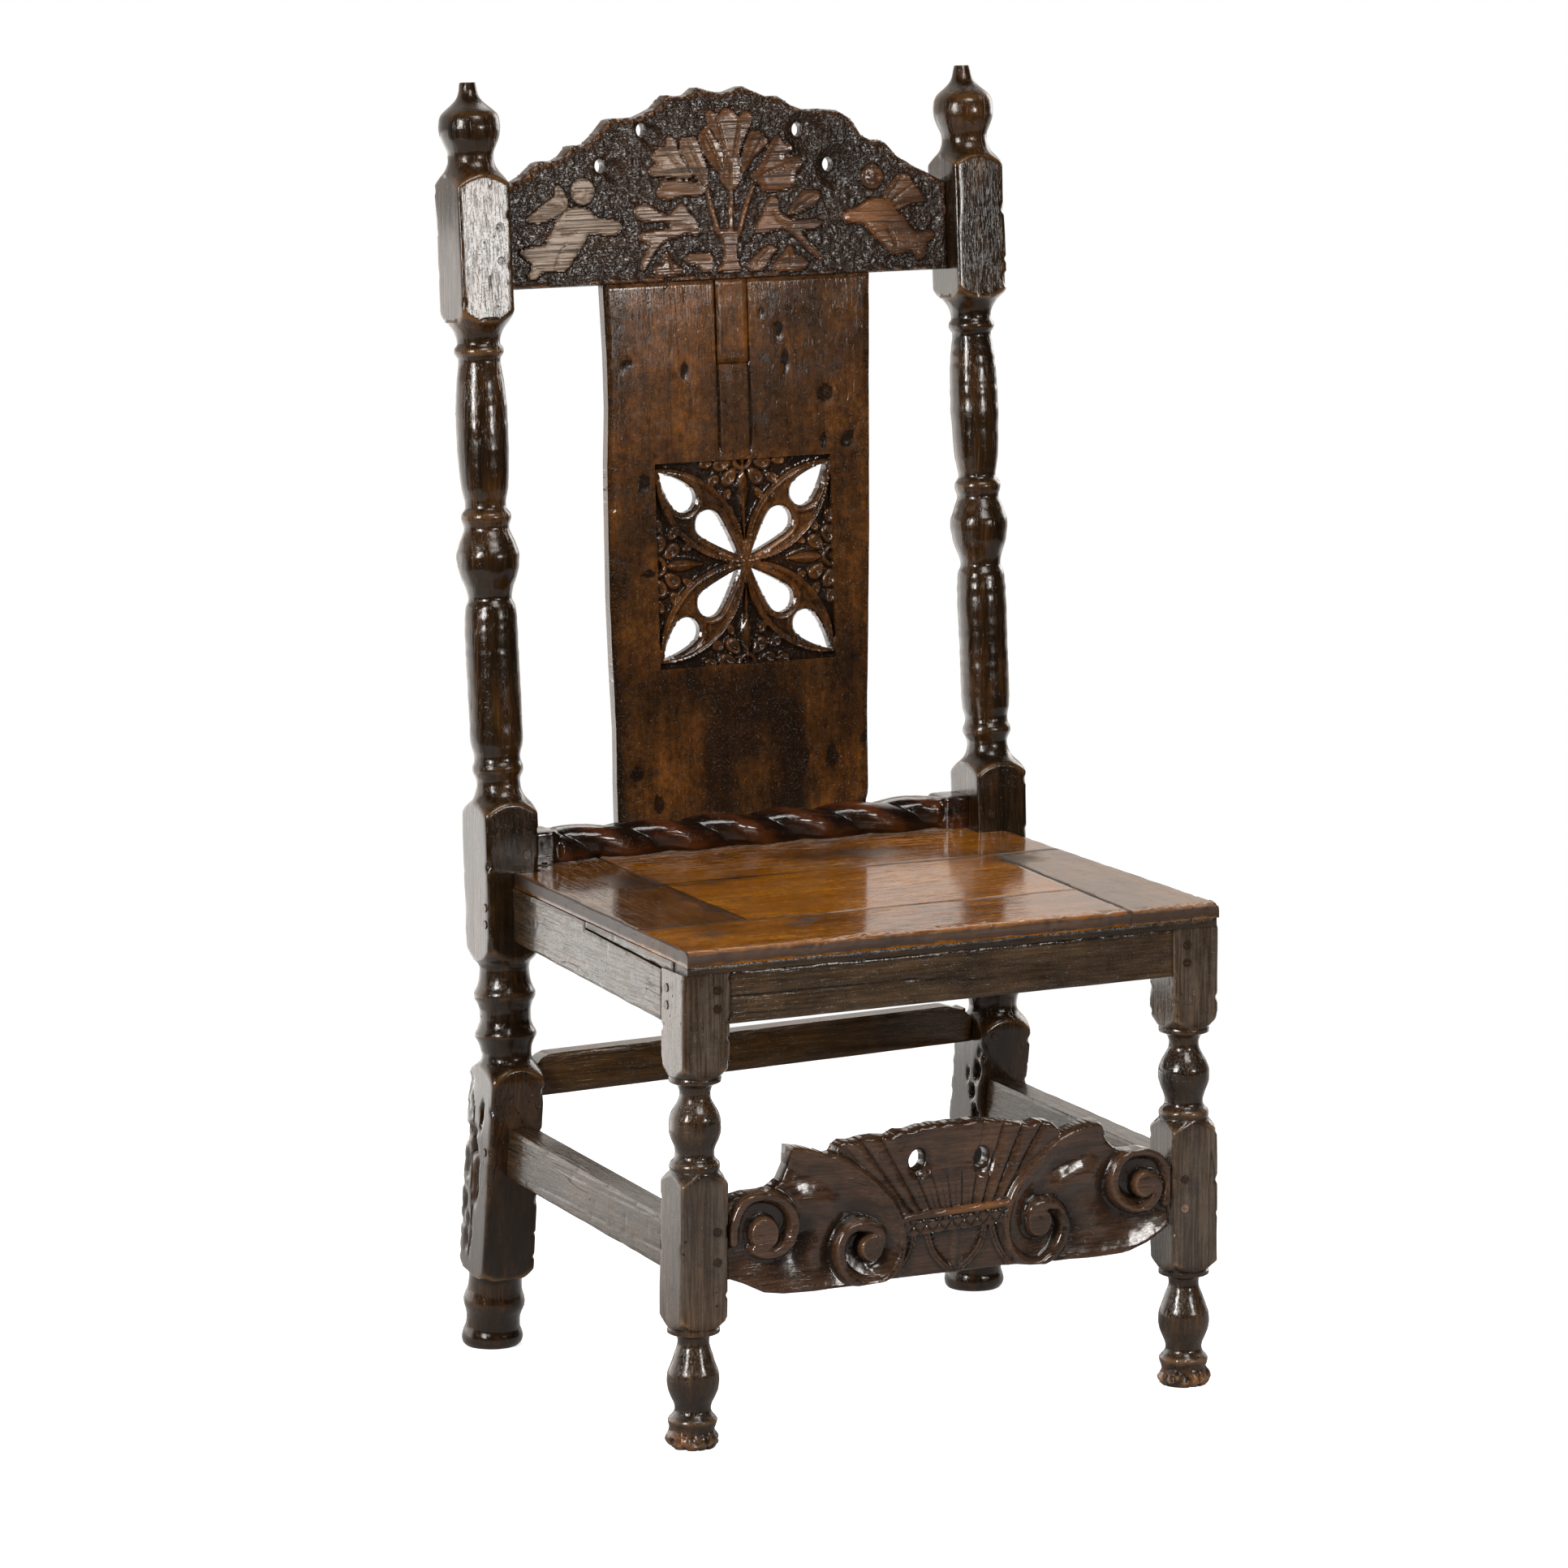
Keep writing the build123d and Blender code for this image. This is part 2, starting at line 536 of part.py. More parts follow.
# ---- crest rail: scalloped arch, leaning with the posts
# cusps between the scallops: share of the half width, height over the crest's lower edge
CUSPS = [(-1, 84), (-0.82, 110), (-0.64, 125), (-0.46, 147), (-0.3, 159), (-0.14, 168), (-0.01, 169),
         (0.12, 170), (0.28, 158), (0.54, 145), (0.66, 122), (0.82, 101), (1, 81)]
CREST_HOLES = ((-0.55, 107), (-0.36, 138), (0.34, 133), (0.47, 100))
HOLE_R = 6.0
crest_plane = Plane(origin=(0, CREST_FRONT_Y, HIP_Z), x_dir=(1, 0, 0),
                    z_dir=(0, -cos(atan(BACK_LEAN)), sin(atan(BACK_LEAN))))
UP = cos(atan(BACK_LEAN))


def on_crest(share, rise):
    """A point of the crest's face as local coordinates of its leaning plane."""
    return (share * CREST_HALF, (CREST_BOTTOM + rise - HIP_Z) / UP)


with BuildPart() as crest_rail:
    with BuildSketch(crest_plane):
        with BuildLine():
            for a, b in zip(CUSPS, CUSPS[1:]):
                SagittaArc(on_crest(*a), on_crest(*b), 5)
            Polyline(on_crest(*CUSPS[-1]), on_crest(1, 0), on_crest(-1, 0), on_crest(*CUSPS[0]))
        make_face()
        with Locations(*[on_crest(*h) for h in CREST_HOLES]):
            Circle(HOLE_R, mode=Mode.SUBTRACT)
    extrude(amount=-CREST_T)
    for side in (-1, 1):
        leaning_slab(sided(CREST_TENON, side), 0)
    peg_holes(both(crest_pegs_at))
    # groove for the tongue of the splat
    groove = Plane(origin=(0, SPLAT_FRONT_Y - FIT, SPLAT_REF_Z), x_dir=(1, 0, 0),
                   z_dir=(0, -cos(atan(SPLAT_LEAN)), sin(atan(SPLAT_LEAN))))
    with BuildSketch(groove):
        with Locations((0, CREST_BOTTOM + TONGUE / 2 - SPLAT_REF_Z)):
            Rectangle(SPLAT_W + 2 * FIT, TONGUE + 3)
    extrude(amount=-SPLAT_T - 2 * FIT, mode=Mode.SUBTRACT)

# ---- splat with its pierced tracery
splat_plane = Plane(origin=(0, SPLAT_FRONT_Y, SPLAT_REF_Z), x_dir=(1, 0, 0),
                    z_dir=(0, -cos(atan(SPLAT_LEAN)), sin(atan(SPLAT_LEAN))))
TRACERY_X, TRACERY_Z = 4.0, 229.5   # centre of the tracery, over the splat's reference height
PATCH_W, PATCH_H, PATCH_T = 31.0, 76.0, 4.0


def tear(turn, away, radius, tip):
    """A teardrop opening on a diagonal: round end at one distance from the centre, point at another."""
    reach = tip - away
    touch = away + radius ** 2 / reach
    half = radius * sqrt(1 - (radius / reach) ** 2)
    far = away - radius if reach > 0 else away + radius
    c, s = cos(radians(turn)), sin(radians(turn))
    point, near, end, side = [(TRACERY_X + c * u - s * v, TRACERY_Z + s * u + c * v)
                              for u, v in ((tip, 0), (touch, half), (far, 0), (touch, -half))]
    Line(point, near)
    ThreePointArc(near, end, side)
    Line(side, point)


with BuildPart() as back_splat:
    with BuildSketch(splat_plane):
        top = CREST_BOTTOM + TONGUE - 1 - SPLAT_REF_Z
        with Locations((0, (top + SPLAT_BOTTOM + 0.5 - SPLAT_REF_Z) / 2)):
            Rectangle(SPLAT_W, top - (SPLAT_BOTTOM + 0.5 - SPLAT_REF_Z))
    extrude(amount=-SPLAT_T)
    for quarter in range(4):
        for away, radius, tip in ((51, 11, 13), (83, 9.5, 121)):
            with BuildSketch(splat_plane):
                with BuildLine():
                    tear(45 + 90 * quarter, away, radius, tip)
                make_face()
            extrude(amount=-SPLAT_T, mode=Mode.SUBTRACT)
    with BuildSketch(splat_plane):
        with Locations((0, CREST_BOTTOM - SPLAT_REF_Z - PATCH_H / 2)):
            Rectangle(PATCH_W + 2 * FIT, PATCH_H + 2 * FIT)
    extrude(amount=-PATCH_T - FIT, mode=Mode.SUBTRACT)

with BuildPart() as splat_patch:
    with BuildSketch(splat_plane):
        with Locations((0, CREST_BOTTOM - SPLAT_REF_Z - PATCH_H / 2)):
            Rectangle(PATCH_W, PATCH_H)
    extrude(amount=-PATCH_T)

# ---- twist rail: squared ends, a two-strand rope between them
TWIST_Y = TWIST_FRONT_Y + TWIST_D / 2
TWIST_Z = (TWIST_BOTTOM + TWIST_TOP) / 2
with BuildPart() as twist_rail:
    half = POST_IN - SEAM
    starts = half - TWIST_END
    for side in (-1, 1):
        x0, x1 = sorted((side * (starts - 1), side * half))
        box_between(x0, x1, TWIST_FRONT_Y, TWIST_FRONT_Y + TWIST_D, TWIST_BOTTOM, TWIST_TOP)
        x0, x1, ya, yb, za, zb = sided(TWIST_TENON, side)
        box_between(min(x0, side * half), max(x1, side * half), ya, yb, za, zb)
    with BuildSketch(mode=Mode.PRIVATE) as strands:
        with Locations((TWIST_D / 5, 0), (-TWIST_D / 5, 0)):
            Ellipse(TWIST_D * 0.3, TWIST_D / 3)
        Rectangle(TWIST_D / 3, TWIST_D / 2)
    lobes = Plane.YZ.offset(-starts) * strands.sketch
    rope = Solid.extrude_linear_with_rotation(
        lobes.faces()[0], (-starts, 0, 0), (2 * starts, 0, 0), 720 * starts / TWIST_PITCH)
    add(rope.moved(Location((0, TWIST_Y, TWIST_Z))))
    box_between(-half, half, TWIST_Y - TWIST_D, TWIST_Y + TWIST_D, TWIST_BOTTOM - TWIST_H, TWIST_BOTTOM,
                Mode.SUBTRACT)
    # groove for the foot of the splat
    with BuildSketch(groove):
        with Locations((0, SPLAT_BOTTOM + 12 - SPLAT_REF_Z)):
            Rectangle(SPLAT_W + 2 * FIT, 24)
    extrude(amount=-SPLAT_T - 2 * FIT, mode=Mode.SUBTRACT)
    peg_holes(both(twist_pegs_at))

# ---- seat boards
FRONT_JOINT_Y, BACK_JOINT_Y = 102.0, 273.0
LEFT_JOINT_X = -151.5
CLAMP_FRONT_X, CLAMP_BACK_X = 171.0, 184.0
seat_plane = Plane(origin=(0, 0, SEAT_FRONT_Z - BOARD_T), x_dir=(1, 0, 0),
                   z_dir=(0, -sin(atan(SEAT_FALL)), cos(atan(SEAT_FALL))))
NOTCH_Y = post_face(RAIL_TOP) - SEAM
NOTCH_X = POST_IN - SEAM


def seat_edge(y):
    """Half width of the seat at a depth: it narrows toward the back."""
    taper = (SEAT_HALF_FRONT - SEAT_HALF_BACK) / (NOTCH_Y - SEAT_FRONT_Y)
    return SEAT_HALF_FRONT - taper * (y - SEAT_FRONT_Y)


def clamp_x(y):
    return CLAMP_FRONT_X + (CLAMP_BACK_X - CLAMP_FRONT_X) * (y - SEAT_FRONT_Y) / (BACK_JOINT_Y - SEAT_FRONT_Y)


def seat_board(corners, rounded=None):
    """One board of the seat from its plan, its outer top edges rounded over."""
    with BuildPart() as board:
        with BuildSketch(seat_plane):
            with BuildLine():
                Polyline(*corners, close=True)
            make_face()
        extrude(amount=BOARD_T)
        if rounded:
            front = seat_plane.from_local_coords((*rounded, BOARD_T))
            fillet(board.edges().sort_by_distance(front)[0], EDGE_ROUND)
    return board


g = SEAM / 2
seat_front_board = seat_board(
    [(-seat_edge(SEAT_FRONT_Y), SEAT_FRONT_Y), (clamp_x(SEAT_FRONT_Y) - g, SEAT_FRONT_Y),
     (clamp_x(FRONT_JOINT_Y) - g, FRONT_JOINT_Y - g), (-seat_edge(FRONT_JOINT_Y), FRONT_JOINT_Y - g)],
    (0, SEAT_FRONT_Y))
seat_right_board = seat_board(
    [(clamp_x(SEAT_FRONT_Y) + g, SEAT_FRONT_Y), (seat_edge(SEAT_FRONT_Y), SEAT_FRONT_Y),
     (seat_edge(BACK_JOINT_Y), BACK_JOINT_Y - g), (clamp_x(BACK_JOINT_Y) + g, BACK_JOINT_Y - g)],
    ((clamp_x(SEAT_FRONT_Y) + seat_edge(SEAT_FRONT_Y)) / 2, SEAT_FRONT_Y))
seat_panel = seat_board(
    [(LEFT_JOINT_X + g, FRONT_JOINT_Y + g), (clamp_x(FRONT_JOINT_Y) - g, FRONT_JOINT_Y + g),
     (clamp_x(BACK_JOINT_Y) - g, BACK_JOINT_Y - g), (LEFT_JOINT_X + g, BACK_JOINT_Y - g)])
seat_left_board = seat_board(
    [(-seat_edge(FRONT_JOINT_Y), FRONT_JOINT_Y + g), (LEFT_JOINT_X - g, FRONT_JOINT_Y + g),
     (LEFT_JOINT_X - g, SEAT_BACK_Y), (-NOTCH_X, SEAT_BACK_Y), (-NOTCH_X, NOTCH_Y),
     (-seat_edge(NOTCH_Y), NOTCH_Y)])
seat_back_board = seat_board(
    [(LEFT_JOINT_X + g, BACK_JOINT_Y + g), (seat_edge(BACK_JOINT_Y), BACK_JOINT_Y + g),
     (seat_edge(NOTCH_Y), NOTCH_Y),
     (NOTCH_X, NOTCH_Y), (NOTCH_X, SEAT_BACK_Y), (LEFT_JOINT_X + g, SEAT_BACK_Y)])


# ---- strips between the boards and the rails
def side_strip(side):
    """A wedge that packs the board up off the sloping rail."""
    y0, y1 = RAIL_FRONT_Y + RAIL_T + SEAM, 210.0
    low = SIDE_RAIL_BOTTOM + SIDE_RAIL_H + RAIL_RISE * (y1 - LEG)
    with BuildPart() as strip:
        with BuildSketch(Plane.YZ.offset(side * (seat_edge(y0) - 3))):
            with BuildLine():
                Polyline((y0, RAIL_TOP), (LEG, RAIL_TOP), (y1, low + SEAM),
                         (y1, seat_top(y1) - BOARD_T - 0.02),
                         (y0, seat_top(y0) - BOARD_T - 0.02), close=True)
            make_face()
        extrude(amount=-side * 22)
    return strip


left_seat_strip = side_strip(-1)
right_seat_strip = side_strip(1)
with BuildPart() as front_seat_strip:
    with BuildSketch(Plane.YZ.offset(-seat_edge(0) + 1)):
        with BuildLine():
            y0, y1 = SEAT_FRONT_Y + 0.5, RAIL_FRONT_Y + RAIL_T
            Polyline((y0, RAIL_TOP), (y1, RAIL_TOP), (y1, seat_top(y1) - BOARD_T - 0.02),
                     (y0, seat_top(y0) - BOARD_T - 0.02), close=True)
        make_face()
    extrude(amount=2 * seat_edge(0) - 2)


def pegs(pegs_at):
    """Every peg of one kind, as separate round bars."""
    with BuildPart() as group:
        for start, way, length, radius in both(pegs_at):
            rod(start, way, length, radius)
    return group


crest_pegs = pegs(crest_pegs_at)
twist_rail_pegs = pegs(twist_pegs_at)
seat_rail_pegs = pegs(seat_rail_pegs_at)
side_stretcher_pegs = pegs(side_stretcher_pegs_at)
back_stretcher_pegs = pegs(back_stretcher_pegs_at)
front_stretcher_pegs = pegs(front_stretcher_pegs_at)

NODES = {
    "left_back_post": left_back_post, "right_back_post": right_back_post,
    "left_front_leg": left_front_leg, "right_front_leg": right_front_leg,
    "front_seat_rail": front_seat_rail, "back_seat_rail": back_seat_rail,
    "left_seat_rail": left_seat_rail, "right_seat_rail": right_seat_rail,
    "left_side_stretcher": left_side_stretcher, "right_side_stretcher": right_side_stretcher,
    "back_stretcher": back_stretcher, "front_stretcher": front_stretcher,
    "crest_rail": crest_rail, "back_splat": back_splat, "splat_patch": splat_patch, "twist_rail": twist_rail,
    "seat_front_board": seat_front_board, "seat_right_board": seat_right_board, "seat_panel": seat_panel,
    "seat_left_board": seat_left_board, "seat_back_board": seat_back_board,
    "front_seat_strip": front_seat_strip, "left_seat_strip": left_seat_strip,
    "right_seat_strip": right_seat_strip,
    "crest_pegs": crest_pegs, "twist_rail_pegs": twist_rail_pegs, "seat_rail_pegs": seat_rail_pegs,
    "side_stretcher_pegs": side_stretcher_pegs, "back_stretcher_pegs": back_stretcher_pegs,
    "front_stretcher_pegs": front_stretcher_pegs,
}
# the origin goes half-way between the seat's front edge and the backs of the finials
shift = Location((0, -MIDDLE_Y, 0))
for name, piece in NODES.items():
    placed = piece.part.moved(shift)
    placed.label = name
    export_step(placed, "parts/" + name + ".step")
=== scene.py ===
import bpy
import math
import numpy as np
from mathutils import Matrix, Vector


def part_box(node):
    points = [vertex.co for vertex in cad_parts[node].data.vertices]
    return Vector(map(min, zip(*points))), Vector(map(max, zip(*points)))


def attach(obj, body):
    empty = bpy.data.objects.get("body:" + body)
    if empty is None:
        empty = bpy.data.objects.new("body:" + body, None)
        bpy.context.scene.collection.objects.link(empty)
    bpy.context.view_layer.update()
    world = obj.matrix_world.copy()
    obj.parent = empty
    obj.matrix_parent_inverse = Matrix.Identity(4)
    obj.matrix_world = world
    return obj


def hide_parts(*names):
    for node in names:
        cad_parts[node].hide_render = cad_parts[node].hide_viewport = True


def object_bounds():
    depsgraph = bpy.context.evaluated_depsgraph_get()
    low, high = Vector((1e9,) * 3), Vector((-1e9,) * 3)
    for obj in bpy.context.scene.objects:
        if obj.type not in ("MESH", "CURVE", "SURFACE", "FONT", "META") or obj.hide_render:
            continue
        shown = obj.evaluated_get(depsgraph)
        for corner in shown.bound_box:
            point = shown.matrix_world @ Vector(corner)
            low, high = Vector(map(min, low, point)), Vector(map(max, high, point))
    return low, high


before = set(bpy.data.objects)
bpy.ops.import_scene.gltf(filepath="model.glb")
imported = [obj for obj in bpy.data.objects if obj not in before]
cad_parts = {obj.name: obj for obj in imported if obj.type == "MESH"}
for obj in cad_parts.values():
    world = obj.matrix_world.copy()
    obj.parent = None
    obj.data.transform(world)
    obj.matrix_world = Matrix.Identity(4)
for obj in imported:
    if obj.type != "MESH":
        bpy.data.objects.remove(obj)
cad_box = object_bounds()

MM = 0.001
MIDDLE_Y = 242.15      # the chair's own depth is measured from the front of the legs


# ---------------------------------------------------------------- noise and small maths

def lattice(i, j, k, seed):
    n = (i * 73856093 ^ j * 19349663 ^ k * 83492791 ^ seed * 2654435761) & 0x7FFFFFFF
    n = ((n ^ (n >> 13)) * 1274126177) & 0x7FFFFFFF
    n = ((n ^ (n >> 15)) * 1103515245) & 0x7FFFFFFF
    return (n & 0xFFFFFF) / 0x7FFFFF - 1.0


def noise(x, y, z, size, seed=0):
    """Smooth noise from -1 to 1; size is the width of its lumps."""
    p = [np.asarray(a, float) / size for a in np.broadcast_arrays(x, y, z)]
    cell = [np.floor(a).astype(np.int64) for a in p]
    part = [a - b for a, b in zip(p, cell)]
    part = [a * a * (3 - 2 * a) for a in part]
    total = np.zeros(p[0].shape)
    for corner in range(8):
        d = (corner & 1, corner >> 1 & 1, corner >> 2)
        weight = 1.0
        for f, up in zip(part, d):
            weight = weight * (f if up else 1 - f)
        total += weight * lattice(cell[0] + d[0], cell[1] + d[1], cell[2] + d[2], seed)
    return total


def rough(x, y, z, size, seed=0):
    """Three sizes of lump together."""
    return (noise(x, y, z, size, seed) + 0.5 * noise(x, y, z, size / 2.1, seed + 1)
            + 0.25 * noise(x, y, z, size / 4.3, seed + 2)) / 1.4


def ease(a, b, x):
    t = np.clip((np.asarray(x, float) - a) / (b - a), 0, 1)
    return t * t * (3 - 2 * t)


def soft_min(a, b, k):
    h = np.clip(0.5 + 0.5 * (b - a) / k, 0, 1)
    return b * (1 - h) + a * h - k * h * (1 - h)


def soft_max(a, b, k):
    return -soft_min(-a, -b, k)


def flowing(x, points):
    """A smooth curve through (x, value) points that never overshoots them."""
    px, py = (np.array(c, float) for c in zip(*points))
    step = np.diff(px)
    slope = np.diff(py) / step
    lean = np.zeros(len(px))
    same = slope[:-1] * slope[1:] > 0
    with np.errstate(divide="ignore", invalid="ignore"):
        w0, w1 = 2 * step[1:] + step[:-1], step[1:] + 2 * step[:-1]
        lean[1:-1] = np.where(same, (w0 + w1) / (w0 / slope[:-1] + w1 / slope[1:]), 0)
    lean[0], lean[-1] = slope[0], slope[-1]
    i = np.clip(np.searchsorted(px, x) - 1, 0, len(step) - 1)
    t = (np.clip(x, px[0], px[-1]) - px[i]) / step[i]
    return ((1 + 2 * t) * (1 - t) ** 2 * py[i] + t * (1 - t) ** 2 * step[i] * lean[i]
            + t * t * (3 - 2 * t) * py[i + 1] - t * t * (1 - t) * step[i] * lean[i + 1])


def blurred(h, times):
    for _ in range(times):
        p = np.pad(h, 1, mode="edge")
        h = (p[:-2, 1:-1] + p[2:, 1:-1] + p[1:-1, :-2] + p[1:-1, 2:] + 2 * h) / 6
    return h


# ---------------------------------------------------------------- outlines and strokes on a carved face

def softened(points, rounds=2, closed=True):
    """Cuts a drawn outline's corners so that it runs like a knife line."""
    p = np.array(points, float)
    for _ in range(rounds):
        q = np.roll(p, -1, axis=0) if closed else p[1:]
        a = p if closed else p[:-1]
        cut = np.stack([0.75 * a + 0.25 * q, 0.25 * a + 0.75 * q], 1).reshape(-1, 2)
        p = cut if closed else np.vstack([p[:1], cut, p[-1:]])
    return p


def off_line(x, z, points, closed=False):
    """Distance from a line of points."""
    p = np.array(points, float)
    q = np.roll(p, -1, axis=0) if closed else p[1:]
    best = np.full(x.shape, 1e9)
    for (ax, az), (bx, bz) in zip(p if closed else p[:-1], q):
        dx, dz = bx - ax, bz - az
        t = np.clip(((x - ax) * dx + (z - az) * dz) / max(dx * dx + dz * dz, 1e-9), 0, 1)
        best = np.minimum(best, (x - ax - t * dx) ** 2 + (z - az - t * dz) ** 2)
    return np.sqrt(best)


def within(x, z, points, reach=None):
    """Distance inside an outline, negative outside; far points are left at minus the reach."""
    p = np.array(points, float)
    out = np.full(x.shape, -1e3 if reach is None else -reach)
    near = np.ones(x.shape, bool)
    if reach is not None:
        near = ((x > p[:, 0].min() - reach) & (x < p[:, 0].max() + reach)
                & (z > p[:, 1].min() - reach) & (z < p[:, 1].max() + reach))
    nx, nz = x[near], z[near]
    inside = np.zeros(nx.shape, bool)
    for (ax, az), (bx, bz) in zip(p, np.roll(p, -1, axis=0)):
        if az != bz:
            inside ^= ((az > nz) != (bz > nz)) & (nx < (bx - ax) * (nz - az) / (bz - az) + ax)
    d = off_line(nx, nz, p, closed=True)
    out[near] = np.where(inside, d, -d)
    return out


# ---------------------------------------------------------------- meshes

def stood(name, data):
    """A new object, in the scene."""
    o = bpy.data.objects.new(name, data)
    bpy.context.scene.collection.objects.link(o)
    return o


def make(name, verts, faces, finish, replaces=(), marks=None, crease=40):
    """A finished piece from vertices in millimetres."""
    mesh = bpy.data.meshes.new(name)
    mesh.from_pydata(np.clip(np.asarray(verts) * MM, *cad_box).tolist(), [], [tuple(f) for f in faces])
    mesh.validate()
    for key, values in (marks or {}).items():
        mark = mesh.attributes.new(key, "FLOAT", "POINT")
        mark.data.foreach_set("value", np.asarray(values, np.float32).ravel())
    mesh.shade_smooth()
    mesh.set_sharp_from_angle(angle=math.radians(crease))
    mesh.materials.append(finish)
    piece = stood(name, mesh)
    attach(piece, "root")
    if replaces:
        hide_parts(*replaces)
    return piece


def skinned(rings):
    """Quads over a stack of rings, with both ends closed."""
    n, m = rings.shape[:2]
    at = np.arange(n * m).reshape(n, m)
    turn = np.roll(at, -1, axis=1)
    quads = np.stack([at[:-1], turn[:-1], turn[1:], at[1:]], -1).reshape(-1, 4).tolist()
    verts = np.vstack([rings.reshape(-1, 3), rings[0].mean(0), rings[-1].mean(0)])
    low, high = n * m, n * m + 1
    caps = [(low, b, a) for a, b in zip(at[0], turn[0])] + [(high, a, b) for a, b in zip(at[-1], turn[-1])]
    return verts, quads + caps


def slab(xs, zs, keep, front, back, place, bed=4, stain=None, bare=None):
    """A board carved on a grid. keep(x, z) is the distance inside the wood, front and back give the two
    faces' heights, and place puts (x, z, height) in the chair. Openings and edges follow keep exactly."""
    x, z = np.meshgrid(xs, zs, indexing="ij")
    cell_x = np.gradient(xs)[:, None] + 0 * z
    cell_z = np.gradient(zs)[None, :] + 0 * x
    for _ in range(2):
        k = keep(x, z)
        gx = (keep(x + 0.05, z) - keep(x - 0.05, z)) / 0.1
        gz = (keep(x, z + 0.05) - keep(x, z - 0.05)) / 0.1
        steep = np.maximum(gx * gx + gz * gz, 0.25)
        near = np.abs(k) < 0.62 * np.sqrt(cell_x ** 2 * gx ** 2 / steep + cell_z ** 2 * gz ** 2 / steep)
        x = np.where(near, x - k * gx / steep, x)
        z = np.where(near, z - k * gz / steep, z)
    k = keep(x, z)
    mid = [(a[:-1, :-1] + a[1:, :-1] + a[1:, 1:] + a[:-1, 1:]) / 4 for a in (x, z)]
    kept = keep(*mid) > 0
    top, under = front(x, z, np.maximum(k, 0)), back(x, z, np.maximum(k, 0))
    n, m = x.shape
    at = np.arange(n * m).reshape(n, m)
    a, b, c, d = at[:-1, :-1], at[1:, :-1], at[1:, 1:], at[:-1, 1:]
    quads = np.stack([a, b, c, d], -1)[kept]
    faces = [quads, quads[:, ::-1] + n * m]
    padded = np.pad(kept, 1)
    for (p, q), gap in (((a, b), padded[1:-1, :-2]), ((b, c), padded[2:, 1:-1]),
                        ((c, d), padded[1:-1, 2:]), ((d, a), padded[:-2, 1:-1])):
        edge = kept & ~gap
        p, q = p[edge], q[edge]
        faces.append(np.stack([q, p, p + n * m, q + n * m], -1))
    faces = np.vstack(faces)
    verts = np.vstack([place(x, z, top).reshape(-1, 3), place(x, z, under).reshape(-1, 3)])
    # worn: above zero on ridges, which the finish rubs lighter, and below zero in hollows and round the foot
    # of raised parts, where the finish paints shade
    ridge = blurred(top - blurred(top, bed), 2).ravel()
    dark = -top + (stain(x, z) if stain else 0)
    marks = {"worn": np.concatenate([ridge, 0 * ridge]), "deep": np.concatenate([dark.ravel(), 0 * ridge])}
    for key, field in (bare or {}).items():
        marks[key] = np.concatenate([field(x, z).ravel(), 0 * ridge])
    used = np.unique(faces)
    fresh = np.zeros(len(verts), int)
    fresh[used] = np.arange(len(used))
    return verts[used], fresh[faces].tolist(), {key: v[used] for key, v in marks.items()}


def spread(low, high, step):
    return np.linspace(low, high, max(2, int(round((high - low) / step)) + 1))


# ---------------------------------------------------------------- node trees, written as sums

class Sum:
    """A socket that does arithmetic by adding Math nodes to its tree."""

    def __init__(self, tree, socket):
        self.tree, self.socket = tree, socket

    def math(self, operation, *others):
        node = self.tree.nodes.new("ShaderNodeMath")
        node.operation = operation
        for slot, value in zip(node.inputs, (self, *others)):
            plug(self.tree, slot, value)
        return Sum(self.tree, node.outputs[0])

    def __add__(self, o): return self.math("ADD", o)
    def __radd__(self, o): return self.math("ADD", o)
    def __sub__(self, o): return self.math("SUBTRACT", o)
    def __rsub__(self, o): return (self * -1) + o
    def __mul__(self, o): return self.math("MULTIPLY", o)
    def __rmul__(self, o): return self.math("MULTIPLY", o)
    def __truediv__(self, o): return self.math("DIVIDE", o)
    def __pow__(self, o): return self.math("POWER", o)
    def __neg__(self): return self * -1
    def __abs__(self): return self.math("ABSOLUTE")

    def held(self):
        return self.math("MINIMUM", 1.0).math("MAXIMUM", 0.0)

    def between(self, low, high):
        """0 below low, 1 above high, a smooth step from one to the other."""
        node = self.tree.nodes.new("ShaderNodeMapRange")
        node.interpolation_type = "SMOOTHSTEP"
        for key, value in (("Value", self), ("From Min", low), ("From Max", high)):
            plug(self.tree, node.inputs[key], value)
        return Sum(self.tree, node.outputs["Result"])


def plug(tree, slot, value):
    if isinstance(value, Sum):
        tree.links.new(value.socket, slot)
    elif isinstance(value, bpy.types.NodeSocket):
        tree.links.new(value, slot)
    elif value is not None:
        slot.default_value = value


